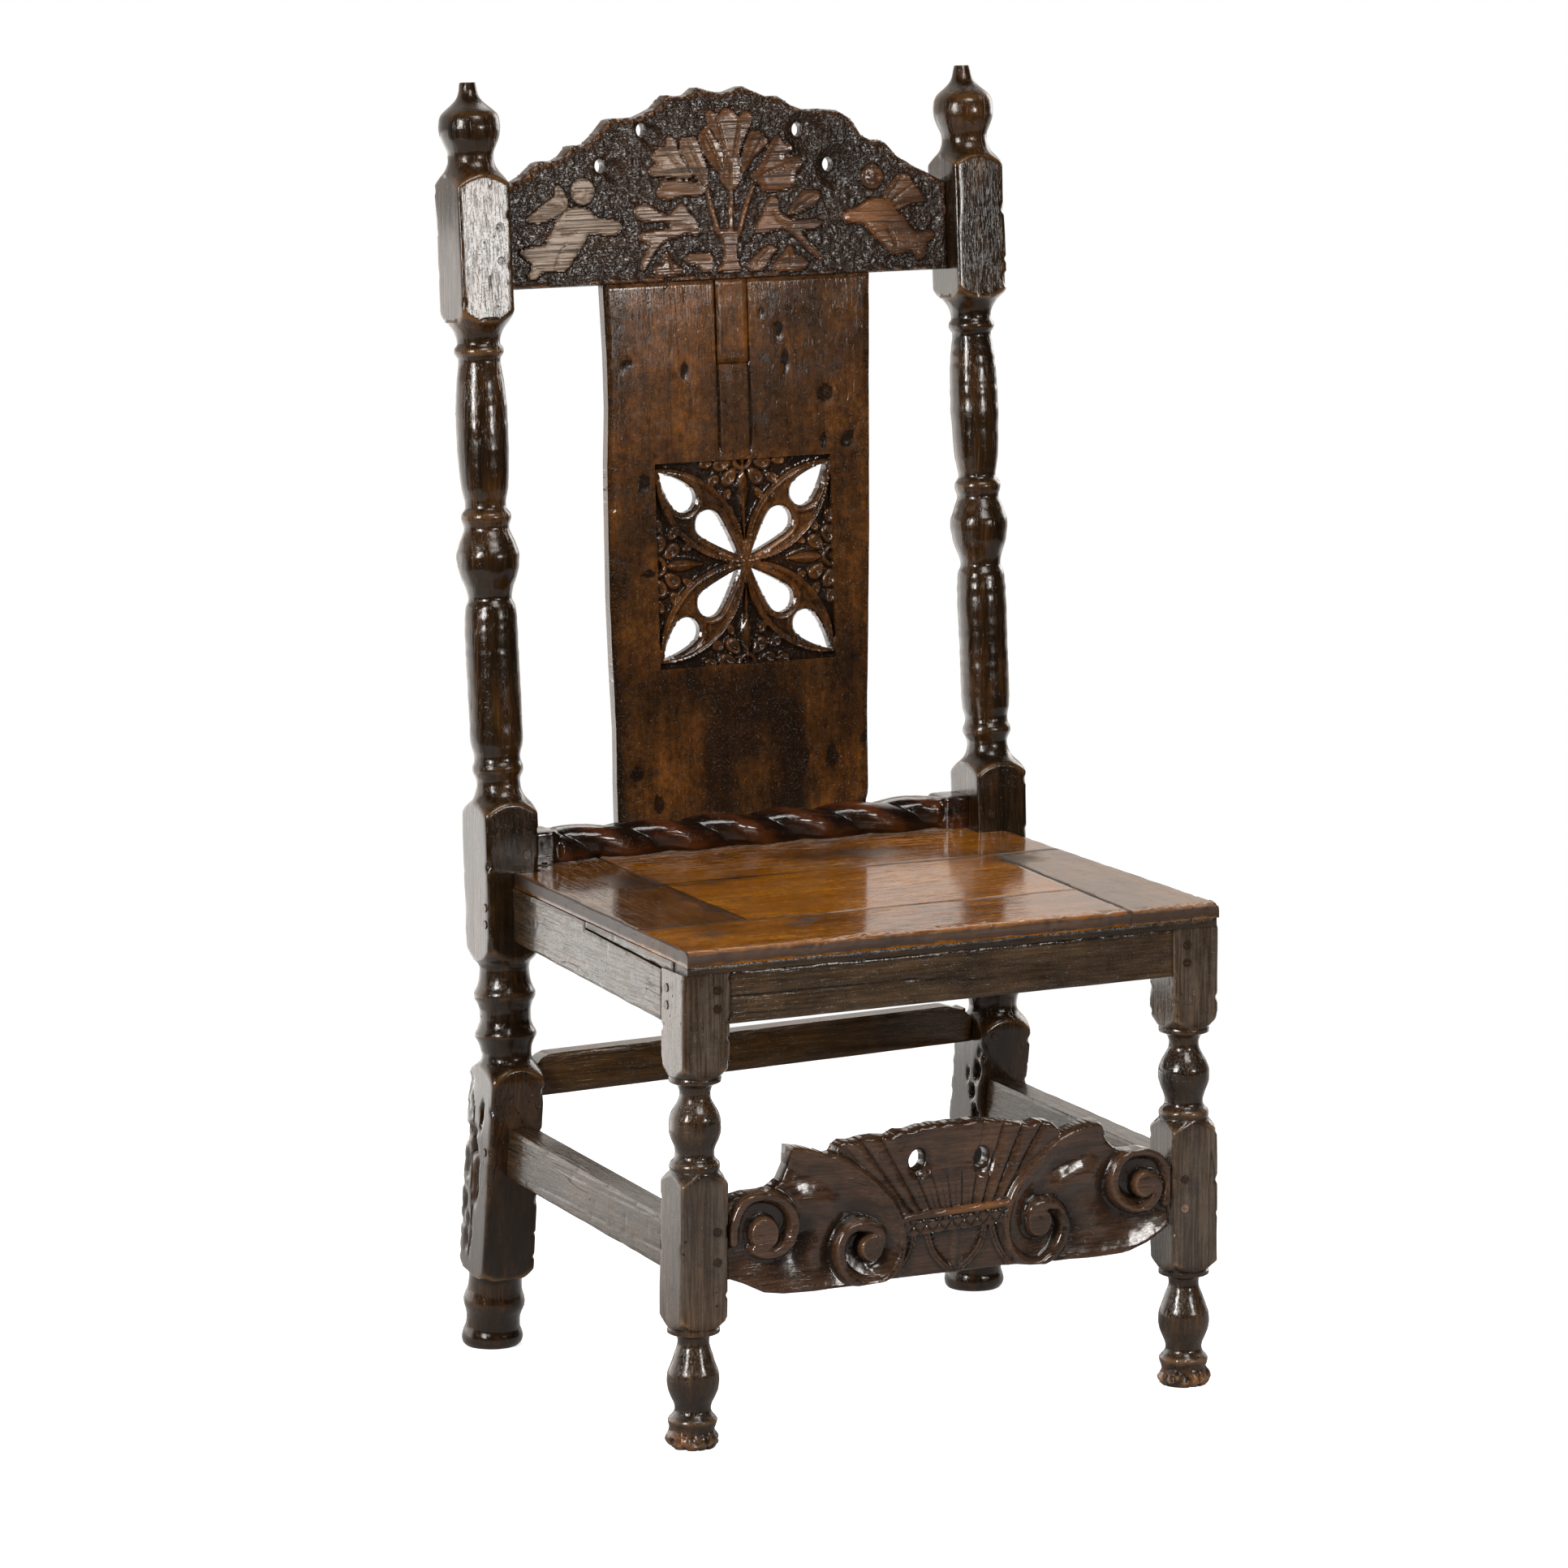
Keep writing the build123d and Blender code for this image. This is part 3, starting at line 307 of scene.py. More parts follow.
class Bench:
    """One node tree and the tools that add to it."""

    def __init__(self, tree):
        self.tree = tree

    def node(self, kind, settings=None, out=0, **sockets):
        """Any node: its settings first, then its sockets by name or number."""
        node = self.tree.nodes.new(kind)
        for key, value in (settings or {}).items():
            if key == "stops":
                ramp = node.color_ramp
                while len(ramp.elements) < len(value):
                    ramp.elements.new(0.5)
                for stop, (where, colour) in zip(ramp.elements, value):
                    stop.position, stop.color = where, colour
            else:
                setattr(node, key, value)
        for key, value in sockets.items():
            slot = node.inputs[int(key[1:])] if key[0] == "_" else node.inputs[key.replace("_", " ")]
            plug(self.tree, slot, value)
        return Sum(self.tree, node.outputs[out])

    def mix(self, factor, a, b):
        """From colour a to colour b."""
        return self.node("ShaderNodeMix", {"data_type": "RGBA"}, 2, _0=factor, _6=a, _7=b)

    def darker(self, colour, by):
        multiply = {"data_type": "RGBA", "blend_type": "MULTIPLY"}
        return self.node("ShaderNodeMix", multiply, 2, _0=1.0, _6=colour, _7=by)

    def stretched(self, along, squeeze, shift=(0, 0, 0)):
        """Object coordinates drawn out along one axis, for grain."""
        place = self.node("ShaderNodeTexCoord", None, 3)
        scale = [1.0, 1.0, 1.0]
        scale["XYZ".index(along)] = squeeze
        return self.node("ShaderNodeMapping", Vector=place, Location=shift, Scale=tuple(scale))

    def lumps(self, vector, scale, detail=2.0, rough=0.5, distortion=0.0):
        return self.node("ShaderNodeTexNoise", Vector=vector, Scale=scale, Detail=detail, Roughness=rough,
                         Distortion=distortion)

    def mark(self, name):
        return self.node("ShaderNodeAttribute", {"attribute_name": name}, 2)

    def end(self, kind, value):
        """Joins the tree to its output node."""
        plug(self.tree, self.tree.nodes.new(kind).inputs[0], value)


def cleared(owner):
    """The emptied node tree of a finish or of the world."""
    owner.use_nodes = True
    owner.node_tree.nodes.clear()
    return Bench(owner.node_tree)


def shape_tree(name, sizes, grows=False):
    """A geometry tree and its inputs. One that grows from points takes them first: an input further
    down the list would leave its modifier empty."""
    tree = bpy.data.node_groups.new(name, "GeometryNodeTree")
    if grows:
        tree.interface.new_socket("Geometry", in_out="INPUT", socket_type="NodeSocketGeometry")
    for key, value in sizes.items():
        tree.interface.new_socket(key, in_out="INPUT", socket_type="NodeSocketFloat").default_value = value
    tree.interface.new_socket("Finish", in_out="INPUT", socket_type="NodeSocketMaterial")
    tree.interface.new_socket("Geometry", in_out="OUTPUT", socket_type="NodeSocketGeometry")
    given = tree.nodes.new("NodeGroupInput")
    return Bench(tree), {socket.name: Sum(tree, socket) for socket in given.outputs if socket.name}


def rgb(r, g, b):
    """A colour written as it looks on screen, 0 to 255."""
    linear = (((c / 255 + 0.055) / 1.055) ** 2.4 if c > 10 else c / 255 / 12.92 for c in (r, g, b))
    return (*linear, 1.0)


# ---------------------------------------------------------------- finishes

WHITE = (1, 1, 1, 1)
DRY_WOOD_AND_SHEEN, RAW_WOOD = (162, 146, 130), (158, 98, 44)
SOOT_AND_SHADE, DIRT, SPLIT_DARK, HOLE_DARK = (15, 10, 7), (20, 14, 10), (10, 6, 4), (6, 4, 3)


def waxed_oak(name, along, dark, mid, warm, worn, gloss=0.24, wax=0.0, worms=0.25, pore=0.5, ripple=0.35,
              speckle=0.5, pebbles=0.0, grain=0.5, grime=0.5, edge_gain=0.8, rub=0.4, depth_gain=0.0,
              checks=0.5, shade_and_soot=0.85, dull=0.07, furrow=0.0, flow=1.0, mottle=0.0):
    """Old waxed oak: long grain with open pores, dark checks, worm holes, rubbed edges, and hollows darkened
    with dirt and painted shade.
    """
    dark, mid, warm, worn = (rgb(*tone) for tone in (dark, mid, warm, worn))
    finish = bpy.data.materials.new(name)
    b = cleared(finish)
    here = b.node("ShaderNodeTexCoord", None, 3)
    fine = b.stretched(along, 0.045, (0.3, 0.1, 0.7))
    bands = b.lumps(b.stretched(along, 0.07), 85.0, 3.0, 0.6, distortion=0.6)
    streak = b.lumps(fine, 420.0, 3.0, 0.62)
    lines = b.lumps(b.stretched(along, 0.018, (0.5, 0.2, 0.1)), 620.0, 2.0, 0.55)
    patches = b.lumps(here, 13.0, 3.0, 0.55)
    small = b.lumps(here, 95.0, 3.0, 0.6)
    cloudy = b.lumps(here, 150.0, 4.0, 0.72)
    tone = (bands * 0.7 * (1 - mottle * 0.5) + cloudy * 0.35 * mottle + patches * 0.75 - 0.22).held()
    colour = b.node("ShaderNodeValToRGB", {"stops": [(0.26, dark), (0.5, mid), (0.76, warm)]}, Fac=tone)
    # pores are short dark dashes along the grain
    pores = b.lumps(fine, 900.0, 1.0, 0.5).between(0.56, 0.68) * streak.between(0.35, 0.6)
    colour = b.darker(colour, b.mix(pores * pore, WHITE, (0.2, 0.16, 0.14, 1)))
    figure = streak * (1 - mottle) + cloudy * mottle
    colour = b.darker(colour, b.mix(figure.between(0.3, 0.72), (0.6, 0.57, 0.54, 1), (1.26, 1.22, 1.16, 1)))
    sunk = b.mark("deep").between(1.2, 2.8)
    furrows = lines.between(0.53, 0.62) * streak.between(0.3, 0.5) * (1 - sunk * 0.85)
    # rubbed edges go lighter; hollows keep their dirt and are darkened further as painted shade
    ridge = b.mark("worn")
    rubbed = ((ridge * edge_gain + (small - 0.5) * 0.8) * (patches * 1.5)).between(0.1, 0.9)
    colour = b.mix(rubbed * rub, colour, worn)
    colour = b.mix((b.mark("amber") * (0.4 + patches * 0.9)).held() * 0.8, colour, rgb(*RAW_WOOD))
    # the dry mark greys the wood: bare, dried wood on most pieces, painted sheen on the crest's leaves and
    # birds
    dry = (b.mark("dry") * (0.5 + small)).held()
    silver = b.mix(streak.between(0.38, 0.6), (0.42, 0.38, 0.34, 1), WHITE)
    colour = b.mix(dry * 0.75, colour, b.darker(rgb(*DRY_WOOD_AND_SHEEN), silver))
    colour = b.darker(colour, b.mix(furrows * furrow, WHITE, (0.12, 0.1, 0.09, 1)))
    # painted shade: concave places (worn mark below zero) and deep carving go towards soot black, along with
    # their dirt
    hollow = (ridge * -edge_gain + b.mark("deep") * depth_gain + (small - 0.5) * 0.3).between(0.1, 1.0)
    colour = b.mix(hollow * shade_and_soot, colour, rgb(*SOOT_AND_SHADE))
    dirt = b.lumps(here, 34.0, 4.0, 0.7).between(0.52, 0.72)
    colour = b.mix(dirt * grime, colour, rgb(*DIRT))
    # checks: thin dark splits along the grain
    split = abs(b.lumps(b.stretched(along, 0.028, (0.9, 0.4, 0.2)), 58.0, 2.0, 0.5) - 0.5)
    split = (1 - split.between(0.0, 0.006)) * patches.between(0.5, 0.62) * checks
    colour = b.mix(split, colour, rgb(*SPLIT_DARK))
    # worm holes
    cells = b.node("ShaderNodeTexVoronoi", {"feature": "F1"}, Vector=here, Scale=95.0)
    chance = b.node("ShaderNodeTexVoronoi", {"feature": "F1"}, 1, Vector=here, Scale=95.0)
    pick = b.node("ShaderNodeSeparateColor", Color=chance)
    hole = (1 - cells.between(0.075, 0.12)) * (1 - pick.between(worms * 0.4, worms * 0.4 + 0.02))
    hole = hole * b.lumps(here, 9.0, 2.0, 0.5).between(0.42, 0.56)
    colour = b.mix(hole, colour, rgb(*HOLE_DARK))
    matt = (streak - 0.5) * 0.08 + (small - 0.5) * 0.08 + dirt * 0.05 + hollow * dull + dry * 0.2 + gloss
    matt = (matt + hole * 0.5 + furrows * furrow * 0.5).math("MAXIMUM", 0.07).math("MINIMUM", 0.95)
    # heights in millimetres
    pits = b.lumps(here, 700.0, 1.0, 0.5).between(0.58, 0.74)
    stones = b.lumps(here, 330.0, 1.0, 0.5).between(0.42, 0.62) * sunk
    waves = b.lumps(b.stretched(along, flow), 110.0, 2.0, 0.5)
    relief = (waves * ripple * 0.6 - pits * speckle * 0.3 - stones * pebbles * 0.5 - furrows * furrow * 0.35
              + lines * 0.14 * grain + streak * 0.1 * pore - pores * 0.14 * pore - hole * 1.2 - split * 0.8)
    bump = b.node("ShaderNodeBump", Strength=1.0, Distance=0.001, Height=relief)
    skin = b.node("ShaderNodeBsdfPrincipled", Base_Color=colour, Roughness=matt, Normal=bump,
                  IOR=1.45, Coat_Weight=wax, Coat_Roughness=0.12, Coat_IOR=1.5)
    b.end("ShaderNodeOutputMaterial", skin)
    return finish


frame_oak = waxed_oak("frame_oak", "Z", (18, 12, 6), (39, 26, 13), (70, 45, 21), (116, 82, 48), gloss=0.13,
                      wax=0.12, worms=0.4, ripple=0.3, speckle=0.14, grain=0.4, edge_gain=0.6, rub=0.6,
                      furrow=0.1, flow=0.1, checks=0.8)
leg_oak = waxed_oak("leg_oak", "Z", (24, 16, 9), (47, 33, 20), (78, 54, 30), (130, 96, 62), gloss=0.12,
                    wax=0.25, worms=0.9, ripple=0.4, speckle=0.5, grain=0.6, edge_gain=0.7, rub=0.7,
                    furrow=0.25, flow=0.3, checks=1.0)
rail_oak = waxed_oak("rail_oak", "X", (36, 27, 18), (62, 48, 34), (84, 65, 45), (112, 88, 62), gloss=0.15,
                     worms=0.6, ripple=0.9, speckle=1.3, grain=0.7, rub=0.4, depth_gain=0.12, furrow=0.1,
                     checks=0.7)
side_oak = waxed_oak("side_oak", "Y", (38, 29, 19), (60, 47, 33), (82, 64, 44), (110, 88, 62), gloss=0.17,
                     wax=0.1, worms=1.2, ripple=0.35, speckle=0.5, grain=0.6, rub=0.4, depth_gain=0.12,
                     furrow=0.3, checks=1.0)
crest_oak = waxed_oak("crest_oak", "X", (54, 35, 21), (90, 60, 38), (116, 76, 44), (140, 98, 66),
                      gloss=0.13, worms=0.15, ripple=0.12, speckle=0.15, pebbles=1.3, grain=0.5,
                      depth_gain=0.36, edge_gain=0.5, rub=0.1, grime=0.2, furrow=0.8)
splat_oak = waxed_oak("splat_oak", "Z", (26, 15, 5), (65, 39, 14), (110, 67, 26), (118, 80, 44), gloss=0.11,
                      worms=0.25, ripple=0.07, speckle=0.9, grain=0.2, depth_gain=0.09, edge_gain=0.5,
                      rub=0.4, dull=-0.03, checks=0.25, mottle=0.75)
scroll_oak = waxed_oak("scroll_oak", "X", (38, 26, 18), (63, 45, 33), (84, 59, 43), (122, 88, 58),
                       gloss=0.14, wax=0.35, worms=0.1, pore=0.3, ripple=0.2, speckle=0.3, grain=0.35,
                       depth_gain=0.085, edge_gain=0.5, rub=0.45, grime=0.3)
twist_oak = waxed_oak("twist_oak", "X", (11, 6, 3), (27, 14, 8), (68, 34, 15), (112, 60, 30), gloss=0.12,
                      wax=0.3, worms=0.05, pore=0.2, ripple=0.3, speckle=0.3, grain=0.1, grime=0.3)
seat_oak = waxed_oak("seat_oak", "X", (74, 40, 2), (132, 78, 4), (178, 112, 10), (186, 130, 60),
                     gloss=0.08, worms=0.15, ripple=0.08, speckle=0.14, grain=0.2, pore=0.6, grime=0.5,
                     edge_gain=0.3, rub=0.45, depth_gain=0.25, dull=0.4, mottle=0.45)
seat_left_oak = waxed_oak("seat_left_oak", "Y", (58, 34, 10), (92, 56, 17), (126, 80, 28),
                          (150, 108, 64), gloss=0.08, worms=0.25, ripple=0.08, speckle=0.1, grain=0.2,
                          pore=0.6, grime=0.5, edge_gain=0.3, rub=0.3, depth_gain=0.25, dull=0.4, mottle=0.45)
golden_oak = waxed_oak("golden_oak", "X", (122, 70, 2), (150, 90, 4), (182, 116, 14),
                       (186, 130, 64), gloss=0.08, worms=0.1, ripple=0.06, speckle=0.12, grain=0.2, pore=0.6,
                       grime=0.15, edge_gain=0.2, rub=0.1, depth_gain=0.25, mottle=0.45)
clamp_oak = waxed_oak("clamp_oak", "Y", (70, 44, 18), (108, 72, 34), (136, 94, 46), (160, 118, 72),
                      gloss=0.22, worms=0.2, ripple=0.12, speckle=0.3, grain=0.6, pore=0.5, grime=0.4,
                      edge_gain=0.3, rub=0.4, depth_gain=0.25, dull=0.4)
strip_oak = waxed_oak("strip_oak", "X", (28, 19, 10), (48, 34, 19), (68, 48, 28), (104, 78, 48),
                      gloss=0.3, worms=0.5, ripple=0.9, speckle=1.3, grain=0.9, rub=0.3, depth_gain=0.12)
plain_oak = waxed_oak("plain_oak", "X", (38, 25, 9), (66, 45, 19), (96, 67, 32), (120, 88, 50), gloss=0.17,
                      worms=0.5, ripple=0.3, speckle=0.5, grain=0.7, rub=0.4, depth_gain=0.12, furrow=0.15,
                      checks=0.7)
peg_oak = waxed_oak("peg_oak", "Y", (26, 17, 10), (44, 30, 17), (64, 44, 25), (90, 66, 44),
                    gloss=0.2, worms=0.0, ripple=0.2, speckle=0.3, grain=0.2, rub=0.2)


# ---------------------------------------------------------------- back posts and front legs

POST_X, LEG_X, LEG_HALF, LEG_TOP = 249, 239.5, 22.5, 418
LEG_SPLAY = 4      # how far the front legs stand out at the floor
KNEE_Z, HIP_Z = 257.0, 482.0
KNEE_Y, HIP_Y = 394.0, 405.025
LEANS = (-0.144, 0.049, 0.0905)      # of the foot, the seat and the back of a post


def post_y(z):
    z = np.asarray(z, float)
    foot = KNEE_Y + LEANS[0] * (z - KNEE_Z)
    seat = KNEE_Y + LEANS[1] * (z - KNEE_Z)
    back = HIP_Y + LEANS[2] * (z - HIP_Z)
    return np.where(z < KNEE_Z, foot, np.where(z < HIP_Z, seat, back))


# radius at each height, floor to finial; where a block stands square the radius is large
FOOT_TURNING = [(0, 24.6), (3, 27), (8, 28), (13, 27), (20, 24.6), (26, 24.4), (33, 25.2), (39, 27.4),
    (43, 28), (47, 27.2), (55, 24.8), (63, 24.2), (69, 24.4)]
LOWER_BLOCK = [(70, 29), (75, 34), (82, 40), (90, 60), (246, 60), (254, 40), (262, 33), (267, 28)]
KNEE_TURNING = [(272, 23.6), (277, 22.8), (284, 23.6), (290, 26), (295, 28.4), (297, 28), (301, 25.6),
    (308, 23.4), (317, 23.4), (324, 25), (330, 28.4), (333, 28.2), (337, 26), (344, 23.8), (354, 22.8),
    (360, 24)]
SEAT_BLOCK = [(364, 28), (370, 33), (378, 40), (388, 60), (488, 60), (494, 40), (499, 34), (503, 30)]
SHAFT_TURNING = [(507, 25.5), (511, 23), (516, 21), (521.5, 20.1), (525, 20.3), (528.5, 21.6), (531, 23),
    (534, 23.6), (538, 23), (540.5, 21.8), (544, 21.2), (548, 21.4), (551, 22.2), (556, 23.4), (566, 24.1),
    (600, 24.2), (640, 24.3), (667, 24.1), (676, 23.4), (681, 22.6), (684, 21.2), (687, 20), (691, 20.5),
    (696, 21.7), (702, 24), (708, 26.2), (715, 27.8), (723, 28.6), (729, 28.2), (735, 26.2), (741, 24),
    (746, 21.8), (749.5, 20.5), (752, 20.8), (754, 21.6), (757, 22.6), (760, 23), (763, 22.5), (765.5, 20.6),
    (768, 18.6), (772, 18.7), (778, 19.8), (786, 21.3), (797, 22.5), (812, 23.2), (830, 23.7), (848, 23.5),
    (866, 22.8), (880, 21.7), (891, 20), (897, 19.2), (900, 19.1), (902, 19.9), (904, 21.6), (907, 22.6),
    (910, 22.2), (912, 20.6), (914, 19.6), (918, 19.6), (922, 20.8), (926, 22.8), (930, 25.6), (934, 29)]
CREST_BLOCK = [(938, 33), (944, 38), (952, 60), (1048, 60), (1054, 38.5), (1058, 33.5), (1062, 29.2)]
FINIAL_TURNING = [(1066, 25.2), (1071, 22.2), (1077, 20.6), (1082, 21), (1088, 23), (1094, 25.6),
    (1100, 27.3), (1106, 27.8), (1112, 27.2), (1117, 25.4), (1121, 22), (1125, 17), (1129, 12.6), (1133, 10),
    (1138, 8.6), (1142, 7.8), (1145, 7)]
POST_OUTLINE = (FOOT_TURNING + LOWER_BLOCK + KNEE_TURNING + SEAT_BLOCK + SHAFT_TURNING + CREST_BLOCK
                + FINIAL_TURNING)
POST_BLOCKS = ((70, 268, 26, 28), (362, 505, 26, 28), (936, 1063, 25.6, 27.3))


def hewn(z, turn, radius, blocks, seed, slim=1.0, wear=1.0):
    """Radius in every direction of a length that is part turned, part left square."""
    half_w, half_d = np.full(z.shape, 60.0), np.full(z.shape, 60.0)
    for low, high, w, d in blocks:
        inside = (z >= low) & (z <= high)
        half_w, half_d = np.where(inside, w, half_w), np.where(inside, d, half_d)
    c, s = np.cos(turn), np.sin(turn)
    corner = np.floor(turn / (math.pi / 2))
    chipped = noise(z / 34, corner * 3.1, 0, 1, seed) * 0.5 + 0.5
    sharp = 26 - 17 * wear * chipped
    square = ((np.abs(c) / half_w) ** sharp + (np.abs(s) / half_d) ** sharp) ** (-1 / sharp)
    at_corner = np.exp(-((np.abs(c) * half_d - np.abs(s) * half_w) / 2.6) ** 2)
    nick = np.clip(noise(z / 7.5, corner * 5.7, 0, 1, seed + 3) - 0.38, 0, 1) * 5.5 * at_corner * wear
    r = soft_min(square - nick, radius * slim, 1.2)
    u, v = r * c, r * s
    turned = 1 - ease(-1.5, 3.0, radius * slim - square)
    lathe = 0.22 * noise(z, 0, 0, 5.5, seed + 7) + 0.12 * noise(u, v, z, 5, seed + 9)
    planed = 0.16 * rough(u, v, z / 5, 26, seed + 5)
    return r + (lathe + 0.45 * rough(u, v, z, 34, seed + 5)) * turned + planed * (1 - turned)


def ring_turns(count=128):
    """Directions round a ring, closer together at the corners of a square."""
    t = (np.arange(count) + 0.5) / count * 2 * math.pi
    return (t - 0.14 * np.sin(4 * (t - math.pi / 4))) % (2 * math.pi)


def turned_grid(z1, outline):
    """Heights and directions of a turned length, and its radius before it is worn."""
    z, turn = np.meshgrid(z1, np.sort(ring_turns()), indexing="ij")
    return z, turn, flowing(z1, outline)[:, None] + 0 * turn


def with_caps(values):
    """Values of the rings' points, and none for the two cap points."""
    return np.append(values.ravel(), [0, 0])


def back_post(side, name, slim, bow):
    z1 = np.concatenate([spread(0, 1145.4, 2.3), [1145.8]])
    z, turn, radius = turned_grid(z1, POST_OUTLINE)
    turned = ease(505, 512, z) * (1 - ease(930, 936, z))
    r = hewn(z, turn, radius, POST_BLOCKS, 11 + side, slim=1 - (1 - slim) * turned)
    left = side < 0
    eaten = worm_eaten(r * np.cos(turn), r * np.sin(turn), z, LEFT_EATEN if left else RIGHT_EATEN, left)
    r = r - eaten
    r[-1] *= 0.75
    lean = LEANS[0] + (LEANS[1] - LEANS[0]) * ease(232, 282, z) + (LEANS[2] - LEANS[1]) * ease(457, 507, z)
    lean = lean * ease(0, 26, z)
    long = np.sqrt(1 + lean ** 2)
    u, v = r * np.cos(turn), r * np.sin(turn)
    drift = bow * np.sin(math.pi * ease(500, 1060, z))
    x = side * POST_X + u + drift
    y = post_y(z) - MIDDLE_Y + v / long
    up = np.maximum(z - v * lean / long, 0)
    verts, faces = skinned(np.stack([x, y, up], -1))
    # worn: ridges rub lighter, while turned grooves go below zero and get painted shade
    worn = with_caps((r - blurred(r, 12)) * 0.8)
    deep = 4 * with_caps(np.clip(eaten, 0, 4))
    return make(name, verts, faces, frame_oak, [name], {"worn": worn, "deep": deep})


# places worms have eaten in the lower blocks: across, height, half width, half height, depth
LEFT_EATEN = ((-8, 223, 2.6, 11, 9), (9, 204, 7, 5, 4), (-3, 161, 4.4, 22, 5.5), (5, 190, 5, 9, 4),
    (20, 132, 3.5, 9, 4), (17, 172, 4, 13, 3), (14, 100, 4, 10, 3.4), (24, 198, 4, 6, 8), (22, 246, 6, 9, 3),
    (10, 118, 3, 8, 2.6))
RIGHT_EATEN = ((-22, 222, 5, 9, 8), (-16, 200, 5, 7, 7), (-23, 181, 4, 8, 7), (-20, 160, 4, 7, 5),
    (-6, 214, 3, 6, 4), (-27, 240, 5, 5, 4))


def worm_eaten(u, v, z, places, cracked):
    """Depth eaten out of the face and edges of one lower block."""
    lost = np.zeros(z.shape)
    outer = ease(-20, -25, u)
    for cv, cz, wide, tall, deep in places:
        wander = 2.5 * noise(v, z, 0, 9, 77)
        lost += outer * deep * np.exp(-(((v + wander - cv) / wide) ** 2 + ((z - cz) / tall) ** 2) ** 1.6)
    if not cracked:
        return lost
    crack = np.abs(v - 6 - 4 * noise(z, 0, 0, 22, 78) - 0.06 * (z - 150))
    lost += outer * 2.4 * (1 - ease(0.4, 1.5, crack)) * ease(80, 95, z) * (1 - ease(235, 252, z))
    ragged = ease(0.1, 0.7, noise(v, z, 0, 7, 79)) * ease(6, 24, v)
    return lost + outer * 1.5 * ragged * ease(90, 110, z) * (1 - ease(215, 250, z))


LEG_OUTLINE = [(0, 20), (3, 22.6), (7, 24.4), (11, 23.6), (15, 21.4), (18, 20.8), (21, 21.6), (24, 21.8),
    (27, 19.6), (30, 16.8), (34, 15.8), (38, 16.6), (45, 19.6), (52, 22), (58, 22.8), (64, 22.4), (72, 20),
    (80, 17.2), (87, 14.8), (92, 13.6), (96, 13.8), (99, 16), (100.4, 21), (101.5, 22.6), (104.5, 22.6),
    (105.5, 21.6), (107, 23), (111, 27), (116, 34), (122, 60), (226, 60), (232, 34), (237, 27.5), (241, 24),
    (243, 22), (244.5, 21.8), (247, 22.6), (250, 22), (253, 19), (256, 17.2), (260, 17), (265, 18.2),
    (272, 21), (279, 22.7), (286, 22.7), (294, 20.4), (301, 16.6), (307, 13.8), (312, 13.4), (316, 14.6),
    (319, 17.4), (320.4, 21), (321.5, 22.6), (324.4, 22.6), (325.6, 22), (327, 23.4), (331, 27), (336, 33),
    (344, 60), (418, 60)]
LEG_BLOCKS = ((105, 242, LEG_HALF, LEG_HALF), (325, 430, LEG_HALF, LEG_HALF))


def front_leg(side, name):
    z1 = np.unique(np.concatenate([spread(0, LEG_TOP, 2.2), spread(98, 108, 0.8), spread(318, 328, 0.8)]))
    z, turn, radius = turned_grid(z1, LEG_OUTLINE)
    r = hewn(z, turn, radius, LEG_BLOCKS, 31 + side, wear=0.8)
    # the toe is broken and rubbed
    u, v = r * np.cos(turn), r * np.sin(turn)
    r = r - 6.5 * np.clip(rough(u, v, z, 11, 5 + side) + 0.16, 0, 1) * (1 - ease(6, 27, z))
    r = r - 2.2 * ease(0.25, 0.6, noise(u, v, z, 4, 6)) * (1 - ease(8, 22, z))
    splay = LEG_SPLAY * (1 - z / LEG_TOP)
    x = side * (LEG_X + splay) + r * np.cos(turn)
    y = LEG_HALF - MIDDLE_Y + r * np.sin(turn)
    verts, faces = skinned(np.stack([x, y, z], -1))
    # worn: ridges rub lighter, while turned grooves go below zero and get painted shade
    worn = with_caps((r - blurred(r, 10)) * 0.8)
    raw = ease(-0.25, 0.35, rough(u, v, z, 15, 8 + side)) * (1 - ease(9, 22, z))
    amber = 0.5 * with_caps(raw)
    square = ease(106, 116, z) * ease(241, 231, z) + ease(326, 336, z)
    dry = 0.26 * with_caps(square * (0.75 + 0.5 * rough(u, v, z / 3, 30, 12 + side)))
    marks = {"worn": worn, "deep": 0 * worn, "amber": amber, "dry": dry}
    return make(name, verts, faces, leg_oak, [name], marks)


back_post(-1, "left_back_post", 1.0, -0.6)
back_post(1, "right_back_post", 0.93, 0.0)
front_leg(-1, "left_front_leg")
front_leg(1, "right_front_leg")


# ---------------------------------------------------------------- plain boards

def rounded(k, radius):
    """Drop of a face near its edge, a quarter round."""
    t = np.clip(1 - k / radius, 0, 1)
    return radius * (1 - np.sqrt(np.maximum(1 - t * t, 0)))


